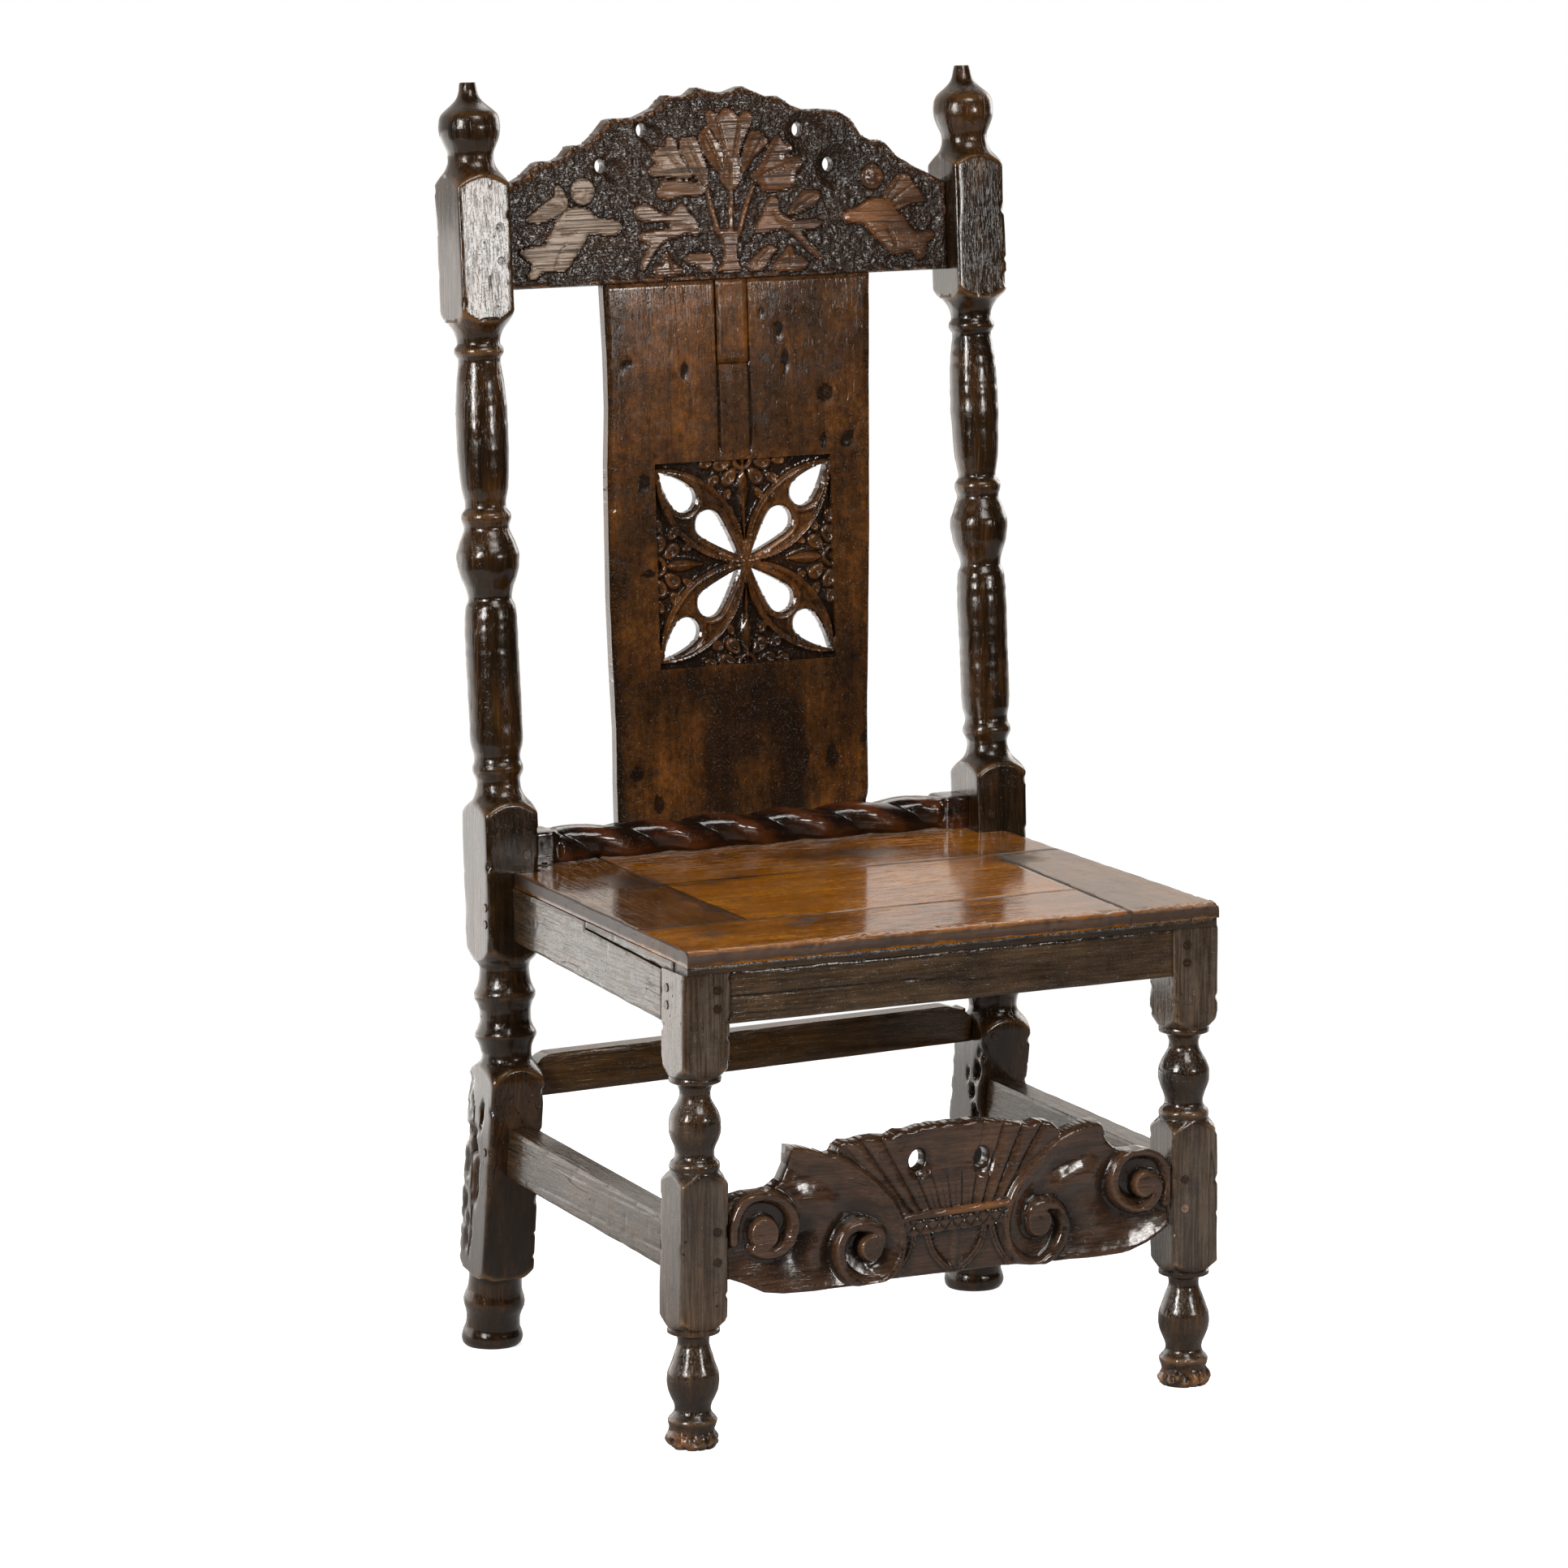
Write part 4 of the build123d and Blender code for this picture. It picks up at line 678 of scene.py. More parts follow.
def plain_board(name, corners, step, thick, place, finish, round_by=1.2, wave=0.3, seed=1, dents=0.4,
                shakes=0):
    """A flat board with rubbed arrises, the waves of a hand plane and, on some, long shakes in the grain."""
    p = np.array(corners, float)
    xs, zs = spread(p[:, 0].min(), p[:, 0].max(), step), spread(p[:, 1].min(), p[:, 1].max(), step)

    def keep(x, z):
        return within(x, z, p)

    def split(x, z):
        open_by = 0 * x
        for n in range(shakes):
            level = p[:, 1].min() + (n + 0.6) / (shakes + 0.3) * np.ptp(p[:, 1])
            line = level + 4.5 * noise(x, n * 7.0, 0, 70, seed + n) + 0.8 * noise(x, n * 5.0, 0, 11, seed + n)
            there = ease(-0.05, 0.3, noise(x, n * 9.0, 5, 60, seed + n))
            open_by = np.maximum(open_by, there * ease(1.5, 0.2, np.abs(z - line)))
        return open_by

    def front(x, z, k):
        bumpy = wave * rough(x, z, 0, 55, seed) - dents * np.clip(noise(x, z, 3, 8, seed + 4) - 0.55, 0, 1)
        edge = round_by * (1 + 0.7 * noise(x, z, 9, 16, seed + 8))
        return bumpy * ease(0, 4, k) - rounded(k, np.maximum(edge, 0.5)) - 0.6 * split(x, z)

    def back(x, z, k):
        return -thick + rounded(k, round_by * 0.7)

    verts, faces, marks = slab(xs, zs, keep, front, back, place, bed=2, stain=lambda x, z: 9 * split(x, z))
    return make(name, verts, faces, finish, [name], marks)


def leaning_back(y0, z0, lean):
    """Puts (x, z, height) on a face that leans back."""
    long = math.hypot(1, lean)

    def place(x, z, h):
        y = y0 + lean * (z - z0) - MIDDLE_Y
        return np.stack([x, y - h / long, z + h * lean / long], -1)
    return place


def facing_front(y):
    return lambda x, z, h: np.stack([x, y - h - MIDDLE_Y, z], -1)


def node_box(name):
    low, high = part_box(name)
    return [v / MM for v in low], [v / MM for v in high]


BETWEEN_LEGS, BETWEEN_POSTS = 217, 222.7      # half the length of a rail between its shoulders

low, high = node_box("front_seat_rail")
plain_board("front_seat_rail", [(-BETWEEN_LEGS, low[2] - 1), (BETWEEN_LEGS, low[2] + 2),
                                (BETWEEN_LEGS, high[2]), (-BETWEEN_LEGS, high[2])], 2.0, 22,
            facing_front(2.0), rail_oak, wave=0.5, seed=21, dents=1.6, shakes=1)


def cross_piece(name, corners, y, thick, seed):
    plain_board(name, corners, 3.5, thick, facing_front(y), plain_oak, seed=seed)


low, high = node_box("back_seat_rail")
cross_piece("back_seat_rail", [(-BETWEEN_POSTS, low[2]), (BETWEEN_POSTS, low[2]), (BETWEEN_POSTS, high[2]),
                               (-BETWEEN_POSTS, high[2])], 392, 22, 22)
cross_piece("back_stretcher", [(-BETWEEN_POSTS, 236), (BETWEEN_POSTS, 246), (BETWEEN_POSTS, 268), (214, 276),
                               (197, 281), (-209, 274), (-217, 271), (-BETWEEN_POSTS, 264)], 386, 20, 23)


def facing_side(side, front_x, back_x, run):
    """Faces of a rail that runs from a front leg back to a post."""
    slope = (back_x - front_x) / run

    def place(along, z, h):
        y = side * along
        return np.stack([side * (front_x + slope * (y - 45) + h), y - MIDDLE_Y, z], -1)
    return place


def side_piece(name, side, front_x, back_x, bottom, tall, rise, thick, seed):
    """A rail between leg and post: its outer face, its thickness and the post's slanting face."""
    ends = []
    for z in (bottom, bottom + tall):
        y = float(post_y(z + 12)) - 27
        ends.append((y, z + rise * (y - 45)))
    corners = [(44, bottom), ends[0], ends[1], (44, bottom + tall)]
    if thick < 23:
        corners[2:3] = [(ends[1][0], 431.4), (212, 428.6), (211.2, bottom + tall + rise * 166)]
    place = facing_side(side, front_x, back_x, ends[0][0] - 45)
    if side < 0:
        corners = [(-y, z) for y, z in corners][::-1]
    plain_board(name, corners, 2.0, thick, place, side_oak, seed=seed, dents=1.4, shakes=2)


for side, word in ((-1, "left"), (1, "right")):
    side_piece(word + "_seat_rail", side, 262, 251, 371.5, 44.5, 0.036, 22, 41 + side)
    side_piece(word + "_side_stretcher", side, 262, 257, 155, 46, 0.032, 25, 45 + side)


# ---------------------------------------------------------------- seat

SEAT_Z, SEAT_FALL, BOARD = 438.5, 0.018, 13.0
SEAT_FRONT, FRONT_JOINT, BACK_JOINT, LEFT_JOINT = -4, 102, 273, -151.5
NOTCH_X, NOTCH_Y, SEAT_BACK = 222.5, 373.8, 420
SEAM = 0.1
NOWHERE_NEAR = 99
# old stains: across, back, half width, half depth
SEAT_STAINS = ((-203, 62, 20, 16), (-116, 72, 14, 14), (-100, 82, 11, 15), (-120, 268, 60, 9),
               (-175, 300, 30, 40), (60, 330, 70, 30), (196, 250, 26, 30), (-158, 180, 10, 70))


def seat_edge(y):
    return 260 - 10.5 * (y - SEAT_FRONT) / (NOTCH_Y - SEAT_FRONT)


def clamp_x(y):
    return 171 + 13 * (y - SEAT_FRONT) / (BACK_JOINT - SEAT_FRONT)


def on_seat(x, y, h):
    return np.stack([x, y - MIDDLE_Y, SEAT_Z + SEAT_FALL * y + h], -1)


def seat_stain_and_shade(x, y):
    """Old polish and dirt gathered at the joints and in a few patches, with painted shade along the seat's
    side edges.
    """
    dark = 0.9 * np.clip(rough(x, y, 4, 50, 171), 0, 1)
    for cx, cy, wide, deep in SEAT_STAINS:
        wander = 9 * noise(x, y, 0, 14, 172)
        away = ((x - cx + wander) / wide) ** 2 + ((y - cy + wander) / deep) ** 2
        dark = dark + 2.6 * np.exp(-away ** 1.4)
    joint = np.minimum.reduce([np.where(beside, away, NOWHERE_NEAR) for beside, away in (
        (x < clamp_x(y), np.abs(y - FRONT_JOINT)), (x > LEFT_JOINT, np.abs(y - BACK_JOINT)),
        (y > FRONT_JOINT, np.abs(x - LEFT_JOINT)), (y < BACK_JOINT, np.abs(x - clamp_x(y))),
        ((y > 22) & (y < FRONT_JOINT), np.abs(x + 80) + 1.2))])
    # painted shade: the rounded side edges of the seat go dark
    dark = dark + 12 * (1 - ease(0.4, 2.2, seat_edge(y) - np.abs(x)))
    return dark + 9 * (1 - ease(0.3, 2.4 + 1.4 * noise(x, y, 0, 9, 173), joint))


def seat_board(name, corners, finish, seed, front_edge=False):
    p = np.array(corners, float)
    xs, ys = spread(p[:, 0].min(), p[:, 0].max(), 2.6), spread(p[:, 1].min(), p[:, 1].max(), 2.6)
    if front_edge:
        ys = np.unique(np.concatenate([ys, spread(SEAT_FRONT, 7, 0.8)]))

    def keep(x, y):
        return within(x, y, p)

    def front(x, y, k):
        out = ease(-232, -262, x) + ease(232, 262, x)
        hollow = 0.16 * (1 - ease(0, 4, k)) * (0.5 + 0.5 * noise(x, y, 5, 30, seed))
        level = 0.22 * rough(x, y, 0, 80, seed) - hollow
        drop = rounded(k, 0.7)
        if front_edge:
            chew = 7.2 + 2.2 * rough(x, y, 2, 14, 9) + 1.8 * np.clip(noise(x, y, 0, 5, 8), 0, 1)
            drop = np.where(y < 12, rounded(np.maximum(y - SEAT_FRONT, 0), chew), drop)
            level = level - 1.9 * np.clip(noise(x, y, 1, 4.5, 18) - 0.05, 0, 1) * (1 - ease(4, 12, y))
        return level - drop - 0.8 * out * np.clip(noise(x, y, 2, 9, 6), 0, 1) * (1 - ease(0, 6, k))

    def back(x, y, k):
        return -BOARD + 0 * x

    def edge_rub(x, y):
        return 0.42 * (1 - ease(2, 9 + 4 * noise(x, y, 0, 12, 19), y)) * front_edge

    bare = {"dry": lambda x, y: edge_rub(x, y) * 0.35, "amber": edge_rub}
    verts, faces, marks = slab(xs, ys, keep, front, back, on_seat, bed=3, stain=seat_stain_and_shade, bare=bare)
    return make(name, verts, faces, finish, [name], marks)


gap = SEAM / 2
before_front, past_front = FRONT_JOINT - gap, FRONT_JOINT + gap
before_back, past_back = BACK_JOINT - gap, BACK_JOINT + gap
seat_board("seat_front_board", [(-seat_edge(SEAT_FRONT), SEAT_FRONT),
                                (clamp_x(SEAT_FRONT) - gap, SEAT_FRONT),
                                (clamp_x(FRONT_JOINT) - gap, before_front),
                                (-seat_edge(FRONT_JOINT), before_front)], seat_oak, 51, True)
seat_board("seat_right_board", [(clamp_x(SEAT_FRONT) + gap, SEAT_FRONT), (seat_edge(SEAT_FRONT), SEAT_FRONT),
                                (seat_edge(BACK_JOINT), before_back),
                                (clamp_x(BACK_JOINT) + gap, before_back)],
           clamp_oak, 52, True)
seat_board("seat_panel", [(LEFT_JOINT + gap, past_front), (clamp_x(FRONT_JOINT) - gap, past_front),
                          (clamp_x(BACK_JOINT) - gap, before_back), (LEFT_JOINT + gap, before_back)],
           golden_oak, 53)
seat_board("seat_left_board", [(-seat_edge(FRONT_JOINT), past_front), (LEFT_JOINT - gap, past_front),
                               (LEFT_JOINT - gap, SEAT_BACK), (-NOTCH_X, SEAT_BACK), (-NOTCH_X, NOTCH_Y),
                               (-seat_edge(NOTCH_Y), NOTCH_Y)], seat_left_oak, 54)
seat_board("seat_back_board", [(LEFT_JOINT + gap, past_back), (seat_edge(BACK_JOINT), past_back),
                               (seat_edge(NOTCH_Y), NOTCH_Y), (NOTCH_X, NOTCH_Y), (NOTCH_X, SEAT_BACK),
                               (LEFT_JOINT + gap, SEAT_BACK)], seat_oak, 55)

STRIP_X = 259      # half the length of the strip under the seat's front edge
low, high = node_box("front_seat_strip")
plain_board("front_seat_strip", [(-STRIP_X, LEG_TOP), (STRIP_X, LEG_TOP), (STRIP_X, high[2] - 0.4),
                                 (-STRIP_X, high[2] - 0.4)], 2.6, 27, facing_front(-2.2), strip_oak,
            round_by=0.7, wave=0.5, seed=61, dents=2.0)
for side, word in ((-1, "left"), (1, "right")):
    place = facing_side(side, 260.4, 256.4, 185)
    corners = [(24.4, LEG_TOP), (45, LEG_TOP), (210, 424.2), (210, 429.0), (24.4, 425.7)]
    if side < 0:
        corners = [(-y, z) for y, z in corners][::-1]
    plain_board(word + "_seat_strip", corners, 2.6, 20, place, side_oak, round_by=1.0,
                seed=62, dents=1.0)


# ---------------------------------------------------------------- crest rail

CREST_Y, CREST_LEAN = 393.5, LEANS[2]
CREST_OUTLINE = [(-223.4, 961.5), (223.4, 961.5), (223.4, 1041), (206, 1050), (189, 1058), (173, 1068),
    (163, 1079), (156, 1082), (148, 1082), (139, 1087), (131, 1099), (125, 1104), (115, 1110), (96, 1112),
    (80, 1112), (68, 1116), (60, 1122), (55, 1125), (43, 1125), (28, 1131), (20, 1135), (6, 1130.5),
    (-7, 1130), (-18, 1133), (-26, 1135), (-34, 1129), (-39, 1128), (-50, 1128), (-56, 1129), (-68, 1118),
    (-77, 1114), (-86, 1110.5), (-96, 1110), (-111, 1110), (-115, 1109), (-127, 1096), (-136, 1088.5),
    (-143, 1087), (-150, 1087.5), (-153, 1087), (-160, 1079), (-168, 1074.5), (-175, 1074), (-182, 1074.5),
    (-187, 1073), (-200, 1062), (-216, 1054), (-223.4, 1050)]
CREST_HOLES = ((-124.5, 1068), (-82, 1098.5), (76, 1094), (106, 1061.5))
HOLE_SCOOPS = ((-112, 1063, 12), (-73, 1093, 11), (82, 1090, 20), (111, 1058.5, 21))
TRUNK = [(-16, 969), (-8, 975), (-6, 986), (-9, 1000), (-13, 1008), (-6, 1006), (1, 1008), (6, 1005),
    (11, 1007), (8, 996), (6, 982), (9, 974), (13, 968)]
STEMS = ([(-11, 1004), (-17, 1024), (-21, 1043)], [(1, 1002), (2, 1022), (3, 1042)], [(9, 1002), (17, 1026),
    (25, 1044)])
TULIP = [(-19, 1112), (-15, 1115), (-7, 1109), (-3, 1113), (3, 1116), (10, 1112), (14, 1106), (19, 1112),
    (26, 1111), (29, 1105), (22, 1094), (16, 1083), (11, 1071), (15, 1054), (10, 1044), (2, 1041),
    (-6, 1048), (-9, 1056), (-3, 1070), (-4, 1080), (-11, 1089), (-19, 1103)]
LEAVES = [[(-28, 1090), (-23, 1098), (-17, 1100), (-13, 1093), (-6, 1084), (-3, 1072), (-6, 1055),
    (-11, 1060), (-20, 1071), (-27, 1081)], [(-48, 1087), (-42, 1091), (-36, 1089), (-32, 1092), (-28, 1086),
    (-24, 1074), (-20, 1062), (-19, 1048), (-22, 1044), (-30, 1052), (-38, 1063), (-45, 1075)], [(-74, 1071),
    (-75, 1076), (-66, 1083), (-60, 1082), (-60, 1091), (-55, 1093), (-50, 1087), (-49, 1079), (-41, 1066),
    (-33, 1055), (-42, 1053), (-57, 1056), (-76, 1057), (-79, 1061), (-76, 1066), (-68, 1067)], [(-70, 1038),
    (-72, 1043), (-67, 1048), (-68, 1053), (-57, 1053), (-38, 1051), (-23, 1048), (-21, 1041), (-31, 1037),
    (-43, 1039), (-58, 1035), (-64, 1036)], [(15, 1071), (21, 1088), (27, 1095), (33, 1094), (37, 1091),
    (43, 1087), (42, 1082), (34, 1076), (24, 1067), (17, 1056), (12, 1056)], [(32, 1060), (40, 1075),
    (48, 1087), (54, 1090), (58, 1083), (66, 1081), (67, 1074), (55, 1070), (73, 1070), (77, 1064),
    (72, 1057), (68, 1054), (69, 1042), (50, 1039), (35, 1039), (33, 1046), (27, 1050), (22, 1055)]]
BIRDS = [[(-55, 1026), (-49, 1032), (-43, 1030), (-41, 1023), (-34, 1020), (-29, 1004), (-35, 1002),
    (-44, 1005), (-51, 1001), (-64, 1000), (-75, 991), (-81, 981), (-87, 972), (-91, 974), (-89, 983),
    (-83, 990), (-80, 997), (-92, 1001), (-90, 1006), (-79, 1008), (-59, 1009), (-59, 1015), (-63, 1016),
    (-78, 1016), (-90, 1018), (-95, 1025), (-93, 1031), (-81, 1033), (-75, 1028), (-61, 1020)], [(40, 1032),
    (46, 1035), (51, 1032), (50, 1023), (57, 1016), (66, 1012), (92, 1012), (95, 1008), (88, 1003),
    (72, 1003), (76, 996), (87, 985), (96, 976), (92, 975), (83, 981), (70, 994), (56, 1006), (45, 1003),
    (33, 1001), (25, 1003), (29, 1012), (36, 1022)], [(59, 1018), (67, 1029), (77, 1038), (87, 1039),
    (94, 1035), (91, 1027), (81, 1022), (69, 1018), (63, 1017)]]
GROUND_LEAVES = [[(-78, 972), (-76, 977), (-68, 978), (-67, 988), (-62, 988), (-59, 979), (-49, 974),
    (-46, 969), (-61, 967), (-75, 967)], [(-45, 984), (-37, 987), (-18, 986), (-17, 976), (-19, 969),
    (-30, 970), (-32, 975), (-42, 977), (-47, 981)], [(15, 971), (24, 981), (36, 989), (44, 991), (47, 985),
    (38, 977), (35, 970), (24, 967)], [(43, 973), (53, 983), (60, 990), (63, 988), (64, 981), (77, 977),
    (78, 970), (70, 967), (59, 966), (41, 968)]]
WINGS = [[(-158, 1032), (-162, 1045), (-167, 1053), (-173, 1051), (-172, 1043), (-183, 1037), (-192, 1030),
    (-202, 1024), (-201, 1021), (-188, 1019), (-173, 1023)], [(157, 1029), (162, 1036), (170, 1046),
    (178, 1051), (186, 1049), (189, 1042), (199, 1030), (201, 1021), (187, 1023), (173, 1017), (163, 1015)]]
CHERUBS = [[(-159, 1033), (-138, 1031), (-134, 1022), (-112, 1019), (-108, 1016), (-109, 1009), (-115, 1005),
    (-136, 1008), (-141, 1008), (-146, 998), (-156, 987), (-162, 977), (-175, 976), (-189, 976), (-193, 970),
    (-200, 969), (-203, 974), (-197, 979), (-199, 985), (-208, 991), (-209, 996), (-197, 999), (-181, 1000),
    (-183, 1005), (-175, 1013), (-172, 1023)], [(154, 1030), (161, 1028), (169, 1018), (179, 1011),
    (187, 999), (194, 996), (208, 998), (210, 991), (199, 984), (200, 974), (192, 970), (184, 981),
    (173, 976), (163, 978), (154, 988), (142, 999), (137, 1006), (115, 1008), (115, 1017), (132, 1022),
    (142, 1028)]]
HEADS = ((-145, 1046, 12, 0.15), (147, 1048.5, 11.5, -0.5))
KNIFE_LINES = [[(-9, 1107), (-5, 1092), (-1, 1074)], [(14, 1103), (11, 1090), (7, 1073)], [(3, 1066),
    (2, 1048)], [(74, 1067), (55, 1062), (34, 1054)], [(-62, 1080), (-52, 1068), (-40, 1058)], [(-38, 1086),
    (-31, 1070), (-24, 1054)], [(36, 1087), (27, 1074), (19, 1062)], [(-22, 1095), (-14, 1080), (-8, 1064)],
    [(-66, 1045), (-46, 1045), (-28, 1046)], [(-161, 1035), (-166, 1043), (-169, 1049)], [(-163, 1030),
    (-174, 1034), (-184, 1034)], [(-165, 1026), (-180, 1027), (-196, 1024)], [(162, 1030), (170, 1039),
    (177, 1047)], [(166, 1026), (178, 1034), (188, 1040)], [(168, 1021), (184, 1026), (197, 1027)],
    [(63, 1019), (76, 1028), (90, 1035)], [(-150, 1012), (-160, 1008), (-168, 1009)], [(-164, 1000),
    (-172, 990), (-176, 979)], [(160, 1000), (166, 992), (168, 984)], [(-56, 1014), (-46, 1012),
    (-38, 1008)], [(44, 1020), (50, 1012), (62, 1008)], [(-62, 985), (-60, 974)], [(60, 987), (60, 974)],
    [(40, 988), (26, 975)], [(-40, 984), (-22, 981)]]


def lifted(x, z, outline, height, scoop=0.0):
    """A figure standing up from the ground of the carving, its top a little hollow or rounded."""
    k = within(x, z, softened(outline), 7)
    return np.where(k > -1.2, height * ease(-0.7, 0.7, k) + scoop * ease(0.8, 4.5, k), 0)


def calm_head(x, z, cx, cz, size, tilt):
    """A small round head: hair in a roll of curls, closed eyes, a straight nose and a level mouth."""
    c, s = math.cos(tilt), math.sin(tilt)
    p, q = ((x - cx) * c + (z - cz) * s) / size, (-(x - cx) * s + (z - cz) * c) / size
    away = np.sqrt(p * p + q * q)
    dome = 2.4 * ease(1.06, 0.9, away) + 1.7 * np.sqrt(np.clip(1 - away ** 2, 0, 1))
    curls = 0.6 * ease(0.62, 0.8, away) * ease(-0.1, 0.3, q) * (0.6 + 0.6 * np.cos(np.arctan2(q, p) * 15))
    eyes = -0.6 * (1 - ease(0.03, 0.13, np.abs(q - 0.08 + 0.25 * (np.abs(p) - 0.34) ** 2))) * (
        1 - ease(0.14, 0.22, np.abs(np.abs(p) - 0.34)))
    nose = 0.7 * (1 - ease(0.05, 0.15, np.abs(p))) * (1 - ease(0.16, 0.26, np.abs(q + 0.12)))
    mouth = -0.55 * (1 - ease(0.02, 0.1, np.abs(q + 0.48))) * (1 - ease(0.16, 0.26, np.abs(p)))
    return np.where(away < 1.1, dome + (curls + eyes + nose + mouth) * ease(1, 0.9, away), 0)


def crest_top(x, z, k):
    edge = within(x, z, CREST_OUTLINE)
    ground = -3.4 + 0.3 * rough(x, z, 0, 8, 101) - 0.45 * np.clip(noise(x, z, 0, 4.0, 104), -0.3, 1)
    figures = 0 * x
    for outline in [TRUNK] + GROUND_LEAVES + BIRDS:
        figures = np.maximum(figures, lifted(x, z, outline, 3.2))
    for outline in LEAVES + [TULIP]:
        figures = np.maximum(figures, lifted(x, z, outline, 3.5, -0.35))
    for outline in CHERUBS:
        figures = np.maximum(figures, lifted(x, z, outline, 3.2, 0.3))
    for outline in WINGS:
        figures = np.maximum(figures, lifted(x, z, outline, 3.0))
    for line in STEMS:
        figures = np.maximum(figures, 2.9 * (1 - ease(1.4, 3.2, off_line(x, z, softened(line, 2, False)))))
    for head in HEADS:
        figures = np.maximum(figures, calm_head(x, z, *head))
    cuts = 0 * x
    for line in KNIFE_LINES:
        cuts = np.maximum(cuts, 1 - ease(0.3, 1.5, off_line(x, z, softened(line, 1, False))))
    figures = figures - 0.9 * cuts * ease(1.5, 2.6, figures)
    raised = ease(0, 2.6, figures)
    top = ground * (1 - raised) - 3.0 * raised + figures
    for cx, cz, reach in HOLE_SCOOPS:
        away = np.hypot(x - cx, z - cz) / reach
        top = top - 3.4 * ease(1.05, 0.5, away)
    # the top edge is gouged across, most of all on the left
    along = x * 0.9 + z * 0.5
    gouge = 0.5 + 0.5 * np.sin(along * 2 * math.pi / 11.5 + 2 * noise(x, z, 0, 30, 7))
    gouge = gouge * (1 - 0.6 * ease(-120, 40, x))
    scalloped = ease(985, 1010, z)
    lip = scalloped * (1 - ease(0, 9, edge))
    top = top + 1.4 * lip * (1 - gouge) - 2.2 * gouge * scalloped * (1 - ease(0, 8, edge))
    # a torn lip runs along the bottom
    torn = (1 - ease(2, 7, z - 961.5 - 2 * noise(x, 0, 0, 21, 8))) * (0.6 + 0.8 * rough(x, z, 0, 9, 12))
    top = top + 2.4 * torn
    return top - 0.8 * rounded(np.minimum(k, 3), 3) - 0.08 * rough(x, z, 1, 18, 14)


def crest_keep(x, z):
    k = within(x, z, CREST_OUTLINE)
    for cx, cz in CREST_HOLES:
        k = np.minimum(k, np.hypot(x - cx, (z - cz) * 0.86) - 5.6)
    return k


on_crest = leaning_back(CREST_Y, HIP_Z, CREST_LEAN)


def crest_lip(x, z):
    """Polish worn through along the gouged top edge."""
    k = within(x, z, CREST_OUTLINE)
    lip = (1 - ease(2, 8, k + 2 * noise(x, z, 0, 9, 16))) * ease(985, 1030, z)
    lip = lip * (0.55 + 0.45 * ease(40, -120, x))
    arm = (within(x, z, softened(CHERUBS[1])) > 0.4) * ease(170, 140, x)
    return np.maximum(lip, 0.35 * arm)


def crest_right_shade(x, z):
    """The right cherub and its wing are painted darker: painted shade where the lamp's sheen, bright on the
    left of the crest, does not reach.
    """
    figure = within(x, z, softened(CHERUBS[1])) > 0.3
    return 0.8 * (figure | (within(x, z, softened(WINGS[1])) > 0.3)) * (0.8 + rough(x, z, 0, 20, 17))


def crest_bare_and_sheen(x, z):
    """The left cherub, its wing and its head have lost their polish; the leaves and birds are greyed less and
    less from left to right, a painted sheen.
    """
    figure = within(x, z, softened(CHERUBS[0])) > 0.3
    figure = figure | (within(x, z, softened(WINGS[0])) > 0.3) | (np.hypot(x + 145, z - 1046) < 12)
    part = 0 * x
    # painted sheen: the share of pale grey falls from the left-hand leaves and birds to the right
    for outline, share in ((LEAVES[1], 0.3), (LEAVES[2], 0.5), (LEAVES[3], 0.3), (BIRDS[0], 0.28),
                           (TULIP, 0.1), (GROUND_LEAVES[1], 0.25), (GROUND_LEAVES[2], 0.15),
                           (BIRDS[1], 0.08)):
        part = np.maximum(part, share * (within(x, z, softened(outline)) > 0.4))
    return np.maximum(0.95 * figure, part)


verts, faces, marks = slab(spread(-223.4, 223.4, 1.3), spread(961.5, 1136, 1.3), crest_keep, crest_top,
                           lambda x, z, k: -22 + 0.8 * rounded(k, 2) + 0.4 * rough(x, z, 9, 50, 15),
                           on_crest, bed=5, stain=crest_right_shade, bare={"amber": crest_lip, "dry": crest_bare_and_sheen})
make("crest_rail", verts, faces, crest_oak, ["crest_rail"], marks)


# ---------------------------------------------------------------- back splat

SPLAT_Y, SPLAT_Z, SPLAT_LEAN = 411.5, 475.6, 0.0611
TRACERY_X, TRACERY_Z = 8.0, 704.5
TRACERY_WIDE, TRACERY_HIGH = 89.0, 93.0
SPLAT_OUTLINE = [(-128, 466), (127, 466), (128.5, 560), (132, 640), (136, 740), (139, 860), (142, 963),
    (-127.5, 963), (-125.5, 900), (-125.5, 850), (-128, 800), (-129, 740), (-129.6, 680), (-128.6, 620),
    (-127, 560), (-128, 510)]
SPLAT_KNOTS = ((-107, 888, 6, 5), (47, 913, 4, 9), (53, 884, 3, 11), (93, 854, 7, 8), (90, 811, 3, 7),
    (115, 811, 6, 8), (-93, 782, 4, 9), (-91, 698, 6, 4), (-108, 518, 6, 8), (-88, 488, 4, 10),
    (61, 521, 5, 10), (90, 521, 6, 9), (-48, 882, 4, 7), (126, 536, 4, 6), (30, 930, 3, 4))


def tear(u, v, centre, radius, tip, full=0.0):
    """Distance inside a teardrop that lies along u, its point at tip."""
    toward = 1 if tip > centre else -1
    reach = abs(tip - centre)
    a, b = (u - centre) * toward, np.abs(v)
    lean = radius / reach
    flank = math.sqrt(1 - lean * lean)
    side = lean * a + flank * b - radius - full * np.sin(math.pi * np.clip(a / reach, 0, 1))
    ball = np.hypot(a, b) - radius
    past = np.hypot(a - reach, b)
    beyond = np.where((side > 0) & (a > reach + lean * b * 4), past, side)
    return -np.where(a < radius * lean, ball, beyond)


def tracery(x, z):
    dx, dz = x - TRACERY_X, z - TRACERY_Z
    u, v = (np.abs(dx) + np.abs(dz)) / math.sqrt(2), (np.abs(dz) - np.abs(dx)) / math.sqrt(2)
    return dx, dz, u, v


